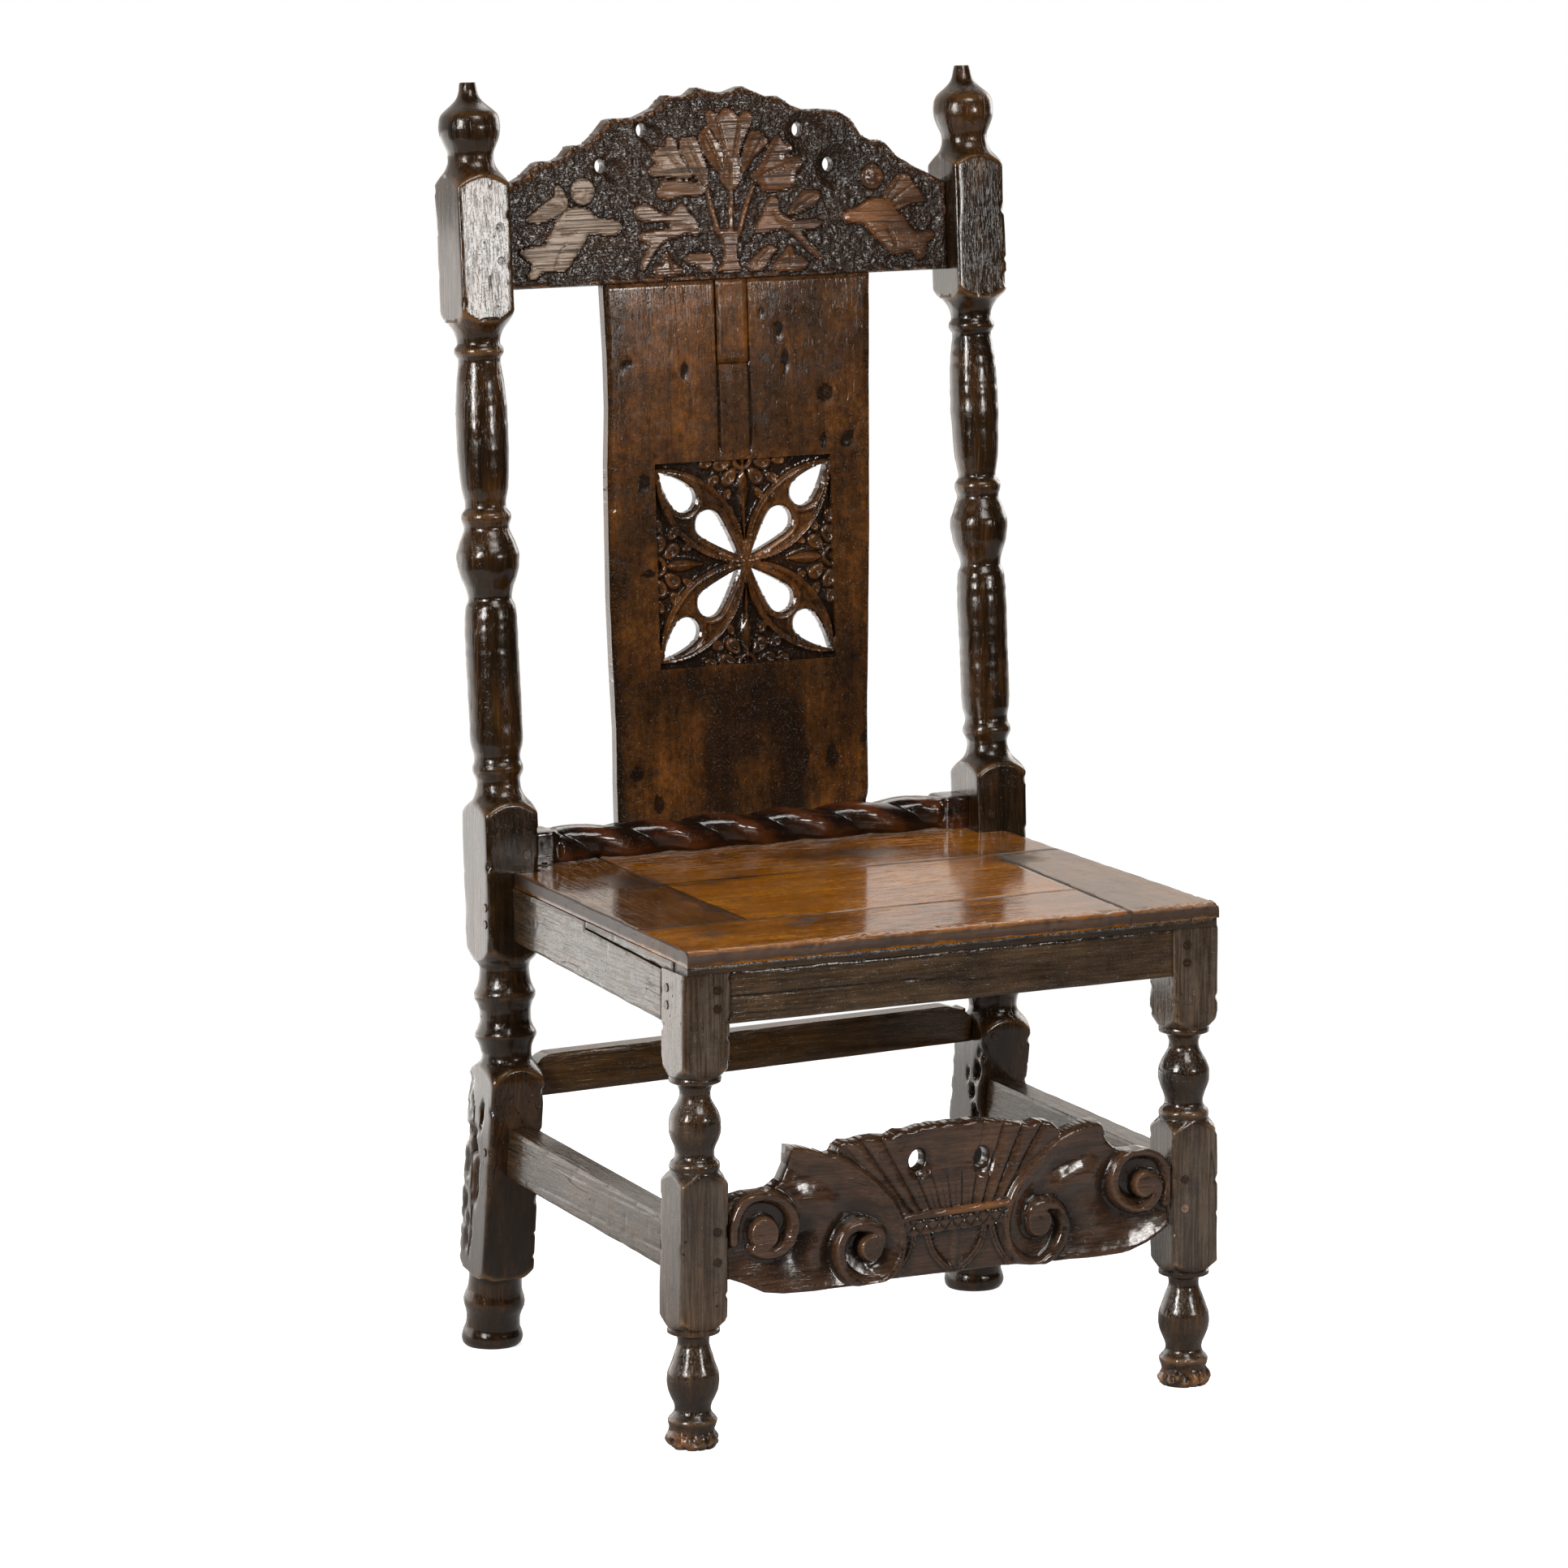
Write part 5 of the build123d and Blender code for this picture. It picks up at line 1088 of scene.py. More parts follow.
def inside_frame(dx, dz):
    """Distance inside the sunk square of the tracery."""
    return np.minimum(TRACERY_WIDE - np.abs(dx), TRACERY_HIGH - np.abs(dz))


def tears(x, z):
    _, _, u, v = tracery(x, z)
    return np.maximum(tear(u, v, 50.5, 13.2, 9.0, 0.8), tear(u, v, 85.2, 12.8, 121.0, 1.8))


def splat_keep(x, z):
    return np.minimum(within(x, z, SPLAT_OUTLINE), -tears(x, z))


# petals of a half flower: turn from the frame, distance, half length, half width
PETALS = ((10, 20.5, 9.8, 8.0), (50, 20.5, 10.0, 8.2), (31, 34.0, 7.0, 6.2), (4, 36.8, 7.4, 5.4),
          (63, 35.4, 6.4, 4.8))


def half_flower(p, q):
    """A daisy cut in half by the frame: ringed button, hollow petals, a ridged leaf toward the middle."""
    p = np.abs(p)
    away = np.hypot(p, q)
    h = np.maximum(4.6 * (1 - ((away - 8.0) / 3.4) ** 2), 2.8 * np.sqrt(np.clip(1 - (away / 3.6) ** 2, 0, 1)))
    for turn, far, long, wide in PETALS:
        c, s = math.cos(math.radians(turn)), math.sin(math.radians(turn))
        run, across = p * c + q * s - far, q * c - p * s
        share = np.hypot(run / long, across / (wide * (0.7 + 0.3 * ease(-long, long, run))))
        h = np.maximum(h, 4.8 * np.clip(1 - share ** 3, 0, 1) ** 0.5 - 2.2 * ease(0.75, 0.1, share))
    wide = 7.4 * np.sin(math.pi * np.clip((q - 10) / 38, 0, 1) ** 0.7) ** 0.9 + 1e-3
    return np.maximum(h, np.where(p < wide, 4.8 * (1 - (p / wide) ** 1.3), 0))


def flowers(x, z):
    """Height of the half flower that stands in from the middle of each side of the frame."""
    dx, dz, _, _ = tracery(x, z)
    upright = np.abs(dz) / TRACERY_HIGH > np.abs(dx) / TRACERY_WIDE
    inward = np.where(upright, TRACERY_HIGH - np.abs(dz), TRACERY_WIDE - np.abs(dx))
    return half_flower(np.where(upright, dx, dz), inward)


def inside_oval(u, v, arc=84.7):
    """Distance inside the pointed oval that one diagonal of the tracery fills."""
    return np.sqrt(np.maximum(arc ** 2 - (u - 62.5) ** 2, 0)) - (arc - 27.5) - np.abs(v)


SPLAT_SPLITS = ((-15.4, 800), (16.2, 800), (-84, 905))      # across, lower end


def splat_splits(x, z):
    """Distance from each split that runs down from the let-in strip, and where it is open."""
    for cx, low in SPLAT_SPLITS:
        yield np.abs(x - cx - 1.2 * noise(z, cx, 0, 40, 136)), ease(low, low + 12, z)


def splat_top(x, z, k):
    dx, dz, u, v = tracery(x, z)
    framed = inside_frame(dx, dz)
    oval = inside_oval(u, v)
    hole = -tears(x, z)
    band = -0.4 - 0.7 * (1 - ease(0.4, 1.3, np.abs(oval - 3.0)))
    rim = -0.7 - 2.4 * (1 - ease(0, 3.0, hole))
    arm = np.where(oval < 5.6, band, -2.9)
    arm = soft_max(arm, np.where(hole < 6.4, rim, -2.9), 0.6)
    sunk = -5.4 + flowers(x, z) + 0.12 * rough(x, z, 2, 6, 131)
    middle = np.hypot(dx, dz)
    carved = np.where(oval > 0, arm, sunk + (arm - sunk) * ease(-0.9, 0, oval))
    carved = np.where(middle < 8, np.maximum(carved, -0.8 - 2.2 * ease(4.5, 1.5, middle)), carved)
    plain = 0.2 * rough(x, z, 0, 90, 133)
    for cx, cz, wide, tall in SPLAT_KNOTS:
        spot = np.exp(-(((x - cx) / wide) ** 2 + ((z - cz) / tall) ** 2) ** 1.5 * 0.8)
        plain = plain - spot * (0.22 + 0.22 * noise(x, z, 4, 4, 135))
    top = np.where(framed > 0, carved * ease(0, 0.8, framed) + plain * (1 - ease(0, 0.8, framed)), plain)
    for crack, there in splat_splits(x, z):
        top = top - 0.7 * (1 - ease(0.2, 1.4, crack)) * there
    inlet = np.minimum(15.9 - np.abs(x - 0.5), z - 885.5)
    top = np.where(inlet > 0, -4.6, top)
    # a chamfer is broken off the lower right corner
    broken = 22 - (128 - x) * 0.75 - (z - 468) * 1.1 + 5 * noise(x, z, 0, 10, 137)
    top = top - 4.5 * ease(0, 9, broken)
    return top - rounded(k, 1.4) * np.where(framed > 0, 0.3, 1) - 0.8 * (1 - ease(0, 6, k)) * np.clip(
        noise(x, z, 7, 16, 138), 0, 1)


def knot_stain_and_shade(x, z):
    """Black marks where knots and old nails were and along the splits; painted shade at the edges of the
    pierced holes and in the sunk ground between the tracery's flowers; darker towards the bottom, in patches
    and along the left edge.
    """
    dark = 0 * x
    for cx, cz, wide, tall in SPLAT_KNOTS:
        wander = 2.5 * noise(x, z, 0, 5, 143)
        away = np.hypot((x - cx + wander) / wide, (z - cz + wander) / tall)
        dark = np.maximum(dark, 17 * ease(1.25, 0.6, away))
    for crack, there in splat_splits(x, z):
        dark = np.maximum(dark, 15 * (1 - ease(0.3, 2.2, crack)) * there)
    # painted shade at the edges of the pierced holes
    dark = np.maximum(dark, 5 * ease(1.4, 0.2, -tears(x, z)))
    dx, dz, u, v = tracery(x, z)
    framed = inside_frame(dx, dz)
    # painted shade in the sunk ground of the tracery, between the flowers
    dark = dark + 9 * (framed > 0) * ease(0.5, -1.0, inside_oval(u, v)) * ease(2.6, 1.0, flowers(x, z))
    foot = 8 * ease(690, 560, z) * (0.7 + noise(x, 0, z / 4, 26, 146))
    patches = 5 * np.clip(rough(x, z, 3, 45, 144), 0, 1)
    left_edge = 5 * (1 - ease(0, 12, np.abs(x + 128) + 3 * noise(x, z, 0, 12, 145)))
    return dark + foot + patches + left_edge


on_splat = leaning_back(SPLAT_Y, SPLAT_Z, SPLAT_LEAN)


def stepped(low, start, end, high, fine, coarse):
    return np.unique(np.concatenate([spread(low, start, coarse), spread(start, end, fine),
                                     spread(end, high, coarse)]))


verts, faces, marks = slab(stepped(-130, -82.5, 98.5, 142.5, 1.16, 3.4),
                           stepped(466, 610, 799, 963, 1.16, 3.4), splat_keep, splat_top,
                           lambda x, z, k: -11 + 0.4 * rough(x, z, 9, 60, 139), on_splat, bed=4,
                           stain=knot_stain_and_shade)
make("back_splat", verts, faces, splat_oak, ["back_splat"], marks)
plain_board("splat_patch", [(-14.9, 886), (15.9, 886), (15.9, 961.3), (-14.9, 961.3)], 2.2, 4.4,
            on_splat, splat_oak, round_by=0.3, wave=0.15, seed=141, dents=0.1)


# ---------------------------------------------------------------- carved front stretcher

STRETCHER_Y = 3.0
BAND_TILT = 0.035      # the hatched band rises a little to the right
FAN_RIBS = 10.5
STRETCHER_OUTLINE = [(-217.3, 148), (-202, 142), (-182, 132), (-163, 129), (-132, 128), (-92, 128.5),
    (-55, 130), (2, 130), (53, 130.5), (91, 128.6), (117, 129.5), (146, 129), (175, 130), (196, 137),
    (217.3, 149), (217.3, 206), (209, 215), (200, 220), (192, 222), (178, 221.5), (170, 222), (163, 226),
    (157, 233), (154, 240), (151, 248), (147, 251), (138, 251.5), (131, 250), (116, 245.5), (108, 243.5),
    (105, 249), (99, 255), (93, 256), (87, 257), (80, 255), (76, 255), (64, 258), (52, 260.5), (44, 261),
    (35, 263), (24, 264), (12, 263), (1, 264), (-8, 263), (-16, 264), (-23, 262.5), (-28, 263), (-40, 260),
    (-50, 261), (-59, 257), (-72, 258.5), (-84, 258), (-95, 256), (-104, 257), (-110, 253), (-113, 248),
    (-118, 247), (-140, 255), (-157, 258), (-158, 241), (-164, 229), (-174, 222), (-182, 221), (-197, 221),
    (-209, 219), (-217.3, 213)]
LEFT_RIM = [(-157, 257), (-140, 254), (-118, 246), (-101, 237), (-84, 225), (-70, 212), (-58, 198),
    (-51, 184), (-47.5, 168), (-48.5, 155), (-53, 143), (-61, 134), (-72, 129.5), (-87, 129.5), (-98, 135),
    (-106, 143), (-110, 157), (-109, 169), (-102, 179), (-91, 182), (-79, 180), (-71, 174), (-66.5, 165),
    (-69, 156)]
RIGHT_RIM = [(153, 241), (150, 247.5), (142, 249.5), (131, 249), (116, 244), (102, 235.5), (87, 223.5),
    (73, 212), (61.5, 198), (56, 183), (53.5, 168), (55, 155), (59, 144), (68, 135), (78, 130.5), (91, 131),
    (102, 137.5), (110, 149), (113, 162), (109, 174), (101, 181), (89, 183.5), (79, 181), (72, 174),
    (70, 165), (76, 156), (88, 153.5), (97, 158)]
LEFT_CURL = [(-213, 180), (-212, 196), (-205, 211), (-194, 218), (-179, 218.5), (-164, 212), (-154.5, 200),
    (-153, 187), (-158, 175), (-168, 167), (-182, 165.5), (-192, 171), (-198, 182), (-197, 194), (-189, 202),
    (-178, 203), (-170, 196), (-168.5, 187)]
RIGHT_CURL = [(214, 172), (216.5, 188), (215, 203), (208, 215), (193, 220.5), (176, 220), (164, 209.5),
    (160, 194), (165, 180), (180, 169.5), (195, 170), (204, 178), (207, 189), (204, 199), (193, 205),
    (182, 202), (177, 194)]
EYES = ((-183, 184.5, 15.5), (-79, 161, 13.0), (86, 167, 14.0), (192, 190.5, 13.0))
PALMETTE_HOLES = ((-32, 233.5), (31, 229.5))


def ribbon(x, z, line, wide, top):
    """A flat ribbon with rounded edges that follows a line."""
    d = off_line(x, z, softened(line, 2, False))
    edge = np.clip((d - wide + 1.4) / 1.4, 0, 1)
    face = top - 1.4 * (1 - np.sqrt(1 - edge ** 2)) - 0.45 * (1 - (np.minimum(d, wide) / wide) ** 2)
    return np.maximum(face - 2.4 * np.maximum(d - wide, 0), -30)


def sculpted(x, z, spots):
    """A smooth skin through (x, z, height) spots."""
    p = np.array(spots, float)

    def bend(d2):
        return np.where(d2 > 0, d2 * np.log(np.maximum(d2, 1e-9)), 0)

    n = len(p)
    flat = np.column_stack([np.ones(n), p[:, :2]])
    apart = ((p[:, None, :2] - p[None, :, :2]) ** 2).sum(2)
    system = np.block([[bend(apart) + 40 * np.eye(n), flat], [flat.T, np.zeros((3, 3))]])
    pull = np.linalg.solve(system, np.append(p[:, 2], [0, 0, 0]))
    h = pull[n] + pull[n + 1] * x + pull[n + 2] * z
    for (px, pz, _), w in zip(p, pull):
        h = h + w * bend((x - px) ** 2 + (z - pz) ** 2)
    return h


LEFT_BODY = [(-150, 252, -0.8), (-130, 247, -0.4), (-105, 235, -0.6), (-84, 219, -0.8), (-68, 202, -1.2),
    (-58, 184, -2), (-122, 222, -3.8), (-112, 214, -4.8), (-90, 203, -5.4), (-76, 192, -5.6),
    (-152, 240, -4.6), (-148, 222, -3.2), (-136, 222, -3.2), (-148, 207, -0.6), (-136, 207, -0.6),
    (-124, 205, -1.2), (-160, 226, -4.0), (-158, 207, -4.4), (-148, 193, -5.8), (-136, 192, -5.8),
    (-112, 195, -4.2), (-123, 181, -4.2), (-132, 166, -4.0), (-137, 150, -4.2), (-106, 184, -7.6),
    (-114, 166, -9.0), (-117, 151, -8.0), (-116, 137, -4.6), (-146, 182, -8.6), (-150, 165, -7.8),
    (-156, 150, -5.6), (-100, 131, -3), (-132, 131, -2.6), (-162, 131, -2.4), (-184, 134, -2.4),
    (-202, 144, -3.0), (-216, 152, -3.4), (-182, 157, -4.4), (-202, 164, -4.8), (-216, 200, -4)]
RIGHT_BODY = [(149, 246, -0.8), (134, 243, -0.4), (108, 230, -0.6), (88, 215, -0.8), (70, 199, -1.2),
    (60, 182, -2), (104, 196, -1.8), (118, 200, -0.8), (134, 206, -0.8), (100, 216, -4.4), (116, 218, -4.0),
    (132, 222, -3.8), (112, 186, -4.6), (127, 190, -4.6), (92, 200, -5.2), (80, 190, -5.6), (146, 236, -2.8),
    (158, 226, -4.6), (152, 210, -5.0), (150, 196, -6.0), (130, 180, -4.2), (143, 172, -4.2),
    (154, 160, -4.6), (112, 184, -6.4), (120, 168, -6.0), (122, 152, -4.8), (120, 139, -3.6),
    (156, 182, -8.2), (160, 170, -7.0), (168, 158, -5.2), (108, 131, -3), (138, 131, -1.4), (164, 131, -1.1),
    (184, 134, -1.4), (202, 142, -2.0), (216, 150, -2.6), (150, 142, -3.4), (171, 144, -3.9),
    (190, 150, -4.4), (206, 160, -5.0), (217, 200, -4)]
NECKS = ([(-158, 175), (-168, 167), (-180, 166.5), (-189, 172), (-188, 180)], [(-91, 182), (-79, 180),
    (-71, 175), (-69, 167), (-75, 161)], [(101, 181), (89, 183.5), (80, 180), (79, 173), (85, 168)],
    [(195, 170), (204, 178), (206, 188), (201, 196), (193, 193)])


def stretcher_keep(x, z):
    k = within(x, z, STRETCHER_OUTLINE)
    for cx, cz in PALMETTE_HOLES:
        k = np.minimum(k, np.hypot(x - cx, (z - cz) * 0.86) - 8.0)
    return k


LOWER_LEAVES = ([(-24, 168), (-19, 152), (-10, 140), (2, 131)], [(33, 168), (30, 153), (19, 141), (6, 131)],
                [(-36, 168), (-40, 150), (-52, 134)], [(40, 168), (46, 148), (58, 133)])


def hatching(x, level):
    """Distance to the nearest line of the crossed hatching."""
    return np.minimum(*(np.abs(((x + level * lean) % 12.5) - 6.25) for lean in (0.95, -0.95)))


def stretcher_top(x, z, k):
    # palmette: knife-cut flutes fan out from the band to the scalloped top
    rise = np.clip((z - 188) / 72, -0.2, 1.2)
    left, right = -49 - 62 * rise, 56 + 46 * rise
    share = np.clip((x - left) / (right - left), 0, 1)
    wide = (right - left) / FAN_RIBS
    part = (share * FAN_RIBS) % 1.0
    to_line = np.minimum(part, 1 - part) * wide
    strong = np.maximum(ease(0.55, 0.8, share), ease(0.3, 0.12, share))
    reach = 1 - (1 - strong) * ease(0.35, 0.62, rise)
    fan = -4.4 + (0.4 + 1.1 * strong) * (1 - (2 * part - 1) ** 2)
    fan = fan - 1.2 * (1 - ease(0.2, 1.3, to_line)) * reach
    fan = fan + 1.2 * ease(0.45, 1.0, rise) + 0.5 * rough(x, z, 0, 26, 155)
    half = np.abs(part - 0.5) * wide
    fan = fan - 0.8 * (1 - ease(0.2, 1.0, half)) * (1 - ease(0.2, 0.4, rise)) * (1 - strong)
    # below the band: leaves cut with the knife
    below = -5.6 + 0 * x
    for line in LOWER_LEAVES:
        d = off_line(x, z, softened(line, 2, False))
        below = np.maximum(below, -3.2 - 0.5 * np.maximum(d - 2.4, 0) ** 1.5)
        below = below - 1.3 * (1 - ease(0.3, 1.3, np.abs(d - 3.4))) - 1.0 * (1 - ease(0.2, 0.9, d))
    below = np.maximum(below, -3.6 - 0.25 * off_line(x, z, [(4, 168), (3, 150), (2, 138)]) ** 1.4)
    level = z - BAND_TILT * x
    band = ease(167.5, 168.6, level) * (1 - ease(188, 189, level))
    strap = -1.9 - 0.9 * (1 - ease(0.4, 1.9, hatching(x, level)))
    strap = strap - 1.0 * (1 - ease(0.3, 1.2, np.abs(level - 182)))
    fillet = -2.0 + 2.6 * np.sqrt(np.maximum(1 - ((level - 186) / 3.8) ** 2, 0))
    strap = np.where(level > 182, fillet, strap)
    centre = np.where(level > 178, fan, below)
    top = centre * (1 - band) + np.maximum(strap, centre) * band
    # scroll leaves: high beside the rim, a soft fold between two hollows, a shoulder above the outer curl
    for rim, curl, spots, way in ((LEFT_RIM, LEFT_CURL, LEFT_BODY, 1),
                                  (RIGHT_RIM, RIGHT_CURL, RIGHT_BODY, -1)):
        body = within(x, z, scroll_body(rim, way))
        leaf = sculpted(x, z, spots)
        leaf = np.clip(np.where(leaf < -2, -2 + (leaf + 2) * 1.45, leaf), -13, 0.6)
        top = np.where(body > -1.3, np.where(body > 0, leaf, top + (leaf - top) * ease(-1.3, 0, body)), top)
        turn = 13 if way > 0 else 16
        ends = (-4, -6) if way > 0 else (-7, -6)
        ribbons = ((rim[:turn], 2.2, 1.6), (rim[turn - 1:ends[0]], 3.6, 1.7), (curl[:ends[1]], 3.5, 1.7))
        for line, wide, high in ribbons:
            top = soft_max(top, ribbon(x, z, line, wide, high), 0.7)
    # each curl: a ribbon that falls into a hollow round a flat eye, and joins the eye at its end
    for n, (cx, cz, r) in enumerate(EYES):
        line = (LEFT_CURL, LEFT_RIM, RIGHT_RIM, RIGHT_CURL)[n]
        rim_d = off_line(x, z, softened(line, 2, False))
        away = np.hypot(x - cx, (z - cz) * 0.92)
        neck = ribbon(x, z, NECKS[n], 3.9, 1.7)
        inside = within(x, z, softened(line[-19:] if len(line) > 19 else line, 2), 40)
        hollow = -8.0 + 8.5 * np.clip((away - r + 1.5) / 11, 0, 1) ** 2
        round_it = (inside > -1) & (away > r - 0.7)
        top = np.where(round_it & (rim_d > 1.4), np.minimum(top, hollow), top)
        eye = 1.2 + 0.3 * rough(x, z, 0, 9, 153 + n) - 10.5 * ease(r - 2.6, r - 0.8, away)
        top = np.where(away < r - 0.8, np.maximum(np.where(away < r - 2.6, -20, top), eye), top)
        top = soft_max(top, neck, 0.6)
        top = np.where(rim_d < 7, blurred(top, 1), top)
    shoulder = np.exp(-(((x + 153) / 15) ** 2 + ((z - 229) / 17) ** 2)) + np.exp(
        -(((x - 150) / 16) ** 2 + ((z - 243) / 16) ** 2))
    top = top - np.minimum(shoulder, 1) * rounded(k, 10)
    for cx, cz in PALMETTE_HOLES:
        away = np.hypot(x - cx - 2, (z - cz + 2) * 0.86)
        top = top - 2.4 * (1 - ease(8, 14, away))
    top = top + 0.3 * rough(x, z, 0, 22, 151) + 0.12 * rough(x, z, 0, 5, 152)
    return top - rounded(k, 2.0)


def scroll_body(rim, mirrored):
    """Outline of the hollow leaf that a rim closes in."""
    inner = rim[:14] if mirrored > 0 else rim[:17]
    far = [(-100, 128), (-140, 127), (-182, 129), (-230, 150), (-230, 222), (-182, 222), (-160, 240)]
    if mirrored < 0:
        far = [(105, 126), (146, 126), (196, 134), (230, 150), (230, 224), (170, 224), (156, 240)]
    return inner + far


def stretcher_dark_cuts(x, z):
    """Darker lines in the hatching and in the knife cuts below the band, only in the middle part under the
    flutes.
    """
    level = z - BAND_TILT * x
    middle = (x > -48 - 0.25 * np.maximum(level - 188, 0)) & (x < 54 + 0.2 * np.maximum(level - 188, 0))
    dark = 12 * ease(1.5, 0.5, hatching(x, level)) * ((level > 168.5) & (level < 181.5))
    for line in LOWER_LEAVES:
        d = off_line(x, z, softened(line, 2, False))
        cut = np.maximum(ease(1.1, 0.3, np.abs(d - 3.4)), ease(0.9, 0.2, d))
        dark = np.maximum(dark, 8 * cut * (level < 167.5))
    return dark * middle


def fillet_amber(x, z):
    """Wood rubbed raw along the fillet above the hatching."""
    level = z - BAND_TILT * x
    bare = 0.12 + 0.3 * ease(-25, 25, x) + 0.25 * noise(x, z, 0, 17, 156)
    return bare * ease(181, 183, level) * ease(190, 188, level) * ease(-52, -46, x) * ease(58, 53, x)


verts, faces, marks = slab(spread(-217.3, 217.3, 1.17), spread(128, 264, 1.17), stretcher_keep, stretcher_top,
                           lambda x, z, k: -22 + 0.5 * rounded(k, 2), facing_front(STRETCHER_Y), bed=6,
                           stain=stretcher_dark_cuts, bare={"amber": fillet_amber})
make("front_stretcher", verts, faces, scroll_oak, ["front_stretcher"], marks, crease=50)


# ---------------------------------------------------------------- rope-twist rail, drawn by its rule

TWIST_LOW, TWIST_HIGH, TWIST_FRONT, TWIST_DEEP = 446.3, 476.6, 394.0, 35.0


def twist_tree():
    """Two strands wound round a rail: a grid is bent into the rope, its ends left square."""
    b, size = shape_tree("rope_twist", {
        "Length": 0.447, "Strands End": 0.19, "Pitch": 0.136, "Deep": TWIST_DEEP * MM,
        "High": (TWIST_HIGH - TWIST_LOW) * MM, "Plumpness": 0.8, "Apart": 0.27})
    grid = b.node("GeometryNodeMeshGrid", Size_X=size["Length"], Size_Y=2 * math.pi, Vertices_X=420,
                  Vertices_Y=73)
    spot = b.node("GeometryNodeInputPosition")
    x, turn = (b.node("ShaderNodeSeparateXYZ", None, n, Vector=spot) for n in (0, 1))
    ahead, up = turn.math("COSINE"), turn.math("SINE")
    wound = turn - x * (2 * math.pi) / size["Pitch"]
    swing = abs(wound.math("COSINE"))
    bulge = wound.math("SINE") ** 2
    a, offset = size["Plumpness"], size["Apart"]
    strands = swing * offset + (a * a - bulge * offset * offset).math("MAXIMUM", 0.02).math("SQRT")
    squared = (abs(ahead) ** 14 + abs(up) ** 14) ** (-1 / 14) * 0.96
    along = abs(x)
    plain = along.between(size["Strands End"], size["Strands End"] + 0.009)
    scoop = 1 - along.between(size["Strands End"] - 0.002, size["Strands End"] + 0.012)
    radius = strands * (1 - plain) + squared * plain - 0.2 * scoop * plain
    tip = 1 - along.between(size["Length"] / 2 - 0.0002, size["Length"] / 2 - 0.0001)
    around = b.node("ShaderNodeCombineXYZ", _0=x, _1=ahead * 0.02, _2=up * 0.02)
    worn = b.node("ShaderNodeTexNoise", Vector=around, Scale=55.0, Detail=2.0)
    radius = (radius + (worn - 0.5) * 0.1) * tip
    height = (radius * up - (up * -1).between(0.0, 0.5) * 0.3).math("MAXIMUM", -0.97)
    bent = b.node("ShaderNodeCombineXYZ", _0=x, _1=radius * ahead * size["Deep"] * 0.5,
                  _2=height * size["High"] * 0.5)
    # worn: high on the strands' crests, which rub lighter, and low in the grooves between them, where the
    # finish paints shade
    marked = b.node("GeometryNodeStoreNamedAttribute", {"data_type": "FLOAT", "domain": "POINT"},
                    Geometry=grid, Name="worn", Value=(strands - 0.93) * 7.0 * (1 - plain))
    shaped = b.node("GeometryNodeSetPosition", Geometry=marked, Position=bent)
    closed = b.node("GeometryNodeMergeByDistance", Geometry=shaped, Distance=0.00002)
    whole = b.node("GeometryNodeRealizeInstances", Geometry=closed)
    b.end("NodeGroupOutput", b.node("GeometryNodeSetMaterial", Geometry=whole, Material=size["Finish"]))
    return b.tree


def from_tree(name, tree, start, inputs, replaced, move=(0, 0, 0), crease=50, turned=False):
    """Runs a tree on a starting mesh and keeps the plain result."""
    o = stood(name, start)
    nodes = o.modifiers.new("shape", "NODES")
    nodes.node_group = tree
    for item in tree.interface.items_tree:
        if item.in_out == "INPUT" and item.name in inputs:
            nodes[item.identifier] = inputs[item.name]
    made = bpy.data.meshes.new_from_object(o.evaluated_get(bpy.context.evaluated_depsgraph_get()))
    o.modifiers.clear()
    assert len(made.polygons), name + " came out empty"
    if turned:
        made.flip_normals()
    co = np.zeros(len(made.vertices) * 3)
    made.vertices.foreach_get("co", co)
    made.vertices.foreach_set("co", (co.reshape(-1, 3) + np.array(move)).ravel())
    made.shade_smooth()
    made.set_sharp_from_angle(angle=math.radians(crease))
    made.update()
    o.data = made
    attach(o, "root")
    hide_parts(*replaced)
    return o


# the bent grid leaves its tree facing inward, so its faces are turned
from_tree("twist_rail", twist_tree(), bpy.data.meshes.new("twist_start"), {"Finish": twist_oak},
          ["twist_rail"],
          (0, (TWIST_FRONT + TWIST_DEEP / 2 - MIDDLE_Y) * MM, (TWIST_LOW + TWIST_HIGH) / 2 * MM), turned=True)


# ---------------------------------------------------------------- riven pegs

def peg_places(name):
    """Middle, direction, radius and length of each peg of a group."""
    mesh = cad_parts[name].data
    spots, at = np.unique(np.round(np.array([v.co for v in mesh.vertices]), 6), axis=0, return_inverse=True)
    corners = at.ravel()[np.array([p.vertices[:] for p in mesh.polygons])]
    part = np.arange(len(spots))
    while True:
        lowest = part[corners].min(1)
        fresh = part.copy()
        for c in range(3):
            np.minimum.at(fresh, corners[:, c], lowest)
        if (fresh == part).all():
            break
        part = fresh
    found = []
    for one in np.unique(part):
        p = spots[part == one]
        middle = (p.min(0) + p.max(0)) / 2
        _, _, lines = np.linalg.svd(p - p.mean(0))
        run = (p - middle) @ lines[0]
        wide = np.linalg.norm(p - middle - run[:, None] * lines[0], axis=1).max()
        found.append((middle, lines[0], wide, run.max() - run.min() + 0.0012))
    return found


